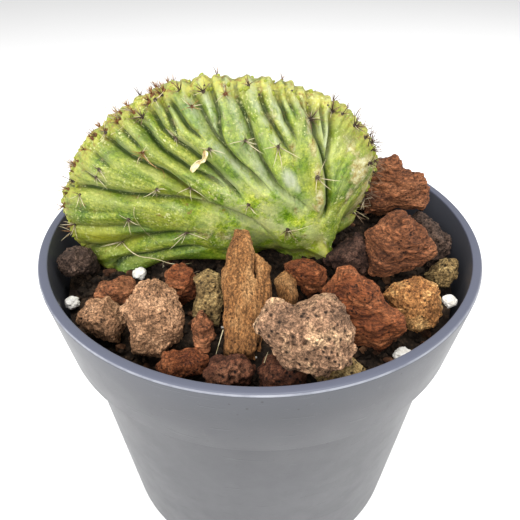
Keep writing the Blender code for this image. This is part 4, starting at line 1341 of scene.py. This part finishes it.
# kind, colour, finest cell in millimetres, lean of the layers in degrees
stones = {
    "stone_slab": ("fibrous", "lava_bark", 0.27, -42),
    "stone_slab_side": ("fibrous", "lava_bark", 0.3, -37),
    "stone_porous": ("porous", "lava_pink", 0.27, 0),
    "stone_left_big": ("granular", "lava_tan", 0.28, 0),
    "stone_ochre": ("granular", "lava_ochre", 0.28, 0),
    "stone_peaked": ("layered", "lava_rust", 0.32, 25),
    "stone_tall": ("layered", "lava_brown", 0.34, 20),
    "stone_stepped": ("layered", "lava_brown", 0.34, 0),
    "stone_round_red": ("layered", "lava_rust", 0.28, 15),
    "stone_lumpy": ("granular", "lava_olive", 0.28, 0),
    "stone_far_left": ("granular", "lava_tan", 0.3, 0),
    "stone_spiked": ("porous", "lava_purple", 0.3, 0),
    "stone_grey_back": ("porous", "lava_dark", 0.32, 0),
    "stone_pebble_right": ("granular", "lava_olive", 0.28, 0),
    "stone_low_front": ("porous", "lava_red", 0.28, 0),
    "stone_low_centre": ("porous", "lava_red", 0.28, 0),
    "stone_low_right": ("granular", "lava_olive", 0.3, 0),
    "stone_low_left": ("granular", "lava_rust", 0.3, 0),
    "stone_low_middle": ("layered", "lava_brown", 0.3, 0),
    "stone_behind_left": ("layered", "lava_brown", 0.34, 10),
    "stone_under_crest": ("layered", "lava_rust", 0.34, -10),
    # the far-left stone under the fan takes the darkest lava colour, which also paints the shade it lies in
    "stone_shaded_left": ("granular", "lava_dark", 0.34, 0),
    "stone_back_right": ("layered", "lava_brown", 0.42, 10),
    "stone_back_outer_1": ("granular", "lava_tan", 0.42, 0),
    "stone_back_outer_2": ("layered", "lava_rust", 0.42, 15),
    "stone_back_outer_3": ("porous", "lava_dark", 0.42, 0),
    "stone_back_outer_4": ("granular", "lava_ochre", 0.42, 0),
    "stone_back_outer_5": ("porous", "lava_olive", 0.42, 0),
    "stone_back_outer_6": ("layered", "lava_rust", 0.42, 0),
    "stone_back_inner_1": ("porous", "lava_purple", 0.42, 0),
    "stone_back_inner_2": ("layered", "lava_rust", 0.42, -15),
    "stone_back_inner_3": ("granular", "lava_tan", 0.42, 0),
    "stone_back_inner_4": ("layered", "lava_brown", 0.42, 0),
    "stone_back_small_1": ("granular", "lava_red", 0.36, 0),
    "stone_back_small_2": ("granular", "lava_tan", 0.36, 0),
    "stone_back_small_3": ("porous", "lava_olive", 0.36, 0),
    "stone_back_small_4": ("porous", "lava_dark", 0.36, 0),
    "stone_back_small_5": ("layered", "lava_rust", 0.36, 0),
}


def lavaLook(name, kind):
    dark, middle, light, poreSize, poreShare = lavaColours[name]
    look, tree, shader, place = startLook(name.replace("_", "") + kind.title(), 0.92, 0.25)
    grain = place
    if kind == "fibrous":
        grain = stretched(tree, place, (1, 1, 0.16), (math.radians(42), 0, 0))
    elif kind == "layered":
        grain = stretched(tree, place, (0.4, 0.5, 1.3), (0, math.radians(-15), 0))
    tone = clouds(tree, grain, (170, 8, 0.68), (0.30, dark), (0.50, middle), (0.72, light))
    speck = clouds(tree, grain, (2300, 4, 0.8), (0.38, 0.30), (0.5, 0.95), (0.62, 2.0))
    tone = mixed(tree, 0.9, tone, speck, "MULTIPLY")
    # open pores painted dark as shade in the holes, hollows painted darker as shade and convex edges paler
    hole = ramp(tree, cells(tree, place, 1000 / (poreSize * 1.7)), (0.16, 0.12), (0.34, 1.0))
    where = clouds(tree, place, (160, 3), (0.62 - 0.3 * poreShare, 0.0), (0.74 - 0.3 * poreShare, 1.0))
    tone = mixed(tree, where, tone, times(tree, tone, hole))
    # painted shade in the hollows, read from the surface's bend; convex edges are painted paler
    bend = tree.nodes.new("ShaderNodeNewGeometry").outputs["Pointiness"]
    hollowShadeAndPaleEdges = ramp(tree, bend, (0.40, 0.28), (0.485, 0.85), (0.52, 1.05), (0.60, 1.55))
    tree.links.new(times(tree, tone, hollowShadeAndPaleEdges), shader.inputs["Base Color"])
    bump(tree, shader, noise(tree, grain, 700, 7, 0.75), 0.0009, 0.8)
    bump(tree, shader, hole, 0.0005, 0.7)
    return look


def cellTexture(name, size, intensity=1.0):
    texture = bpy.data.textures.new(name, "VORONOI")
    texture.noise_scale = size
    texture.noise_intensity = intensity
    return texture


def makeStones():
    finish = stoneFinish
    looks = {}
    layers = addPiece("layers", None)
    total = 0
    for name, (kind, colour, cell, lean) in stones.items():
        form = stoneKinds[kind]
        piece = copyNode(name)
        if name == "stone_slab":
            bpy.ops.mesh.primitive_cube_add(size=1, **crack)
            cutter = bpy.context.object
            bakeModifier(piece, "BOOLEAN", object=cutter, operation="DIFFERENCE", solver="EXACT")
            bpy.data.objects.remove(cutter)
        bakeModifier(piece, "REMESH", mode="VOXEL", voxel_size=cell * mm)
        bakeModifier(piece, "SMOOTH", factor=0.5, iterations=finish["smoothSteps"])
        facets = cellTexture(f"{name}Facets", finish["facetSize"])
        facets.distance_metric = "DISTANCE_SQUARED"
        bakeModifier(piece, "DISPLACE", texture=facets, strength=-finish["facetDepth"], mid_level=0.3,
                     texture_coords="LOCAL")
        # lumps, drawn out along the layers
        layers.rotation_euler = (math.radians(lean), 0, 0)
        layers.scale = form["stretch"] or (1, 1, 1)
        bpy.context.view_layer.update()
        for k, (size, strength) in enumerate(form["steps"]):
            lumps = cloudTexture(f"{name}Lumps{k}", size * mm)
            lumps.noise_type = "HARD_NOISE" if k == 1 and kind in ("layered", "granular") else "SOFT_NOISE"
            bakeModifier(piece, "DISPLACE", texture=lumps, strength=strength * mm, mid_level=0.46,
                         texture_coords="OBJECT", texture_coords_object=layers)
        # open pores gather in patches
        patch = piece.vertex_groups.new(name="openPatch")
        for vertex in piece.data.vertices:
            weight = 0.5 + 1.4 * mathutils.noise.noise(vertex.co / finish["patchSize"])
            patch.add([vertex.index], min(max(weight, 0.05), 1), "REPLACE")
        poreSize = finish["openPore" if kind == "porous" else "finePore"]
        pores = cellTexture(f"{name}Pores", poreSize, finish["poreContrast"])
        bakeModifier(piece, "DISPLACE", texture=pores, strength=form["pores"] * mm, mid_level=0.6,
                     texture_coords="LOCAL", vertex_group="openPatch")
        smoothSkin(piece)
        if (colour, kind) not in looks:
            looks[colour, kind] = lavaLook(colour, kind)
        pieceName = "lava" + name.removeprefix("stone").title().replace("_", "")
        settle(piece, pieceName, looks[colour, kind], colour, name)
        total += len(piece.data.polygons)
    bpy.data.objects.remove(layers)
    print("stones made:", total, "faces")


makeStones()


# perlite grains

# sizes and strengths of their puffs, in millimetres
puffs = ((2.2, 1.5), (0.8, 0.5), (0.35, 0.2))


def makePerlite():
    look = perliteLook()
    for name in sorted(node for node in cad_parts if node.startswith("perlite")):
        piece = copyNode(name)
        bakeModifier(piece, "SUBSURF", levels=4, render_levels=4)
        for size, strength in puffs:
            bakeModifier(piece, "DISPLACE", texture=cloudTexture(f"{name}Puffs", size * mm),
                         strength=strength * mm, mid_level=0.42, texture_coords="LOCAL")
        smoothSkin(piece)
        pieceName = "grain" + name.removeprefix("perlite").title().replace("_", "")
        settle(piece, pieceName, look, "perlite_white", name)
    print("perlite made")


makePerlite()
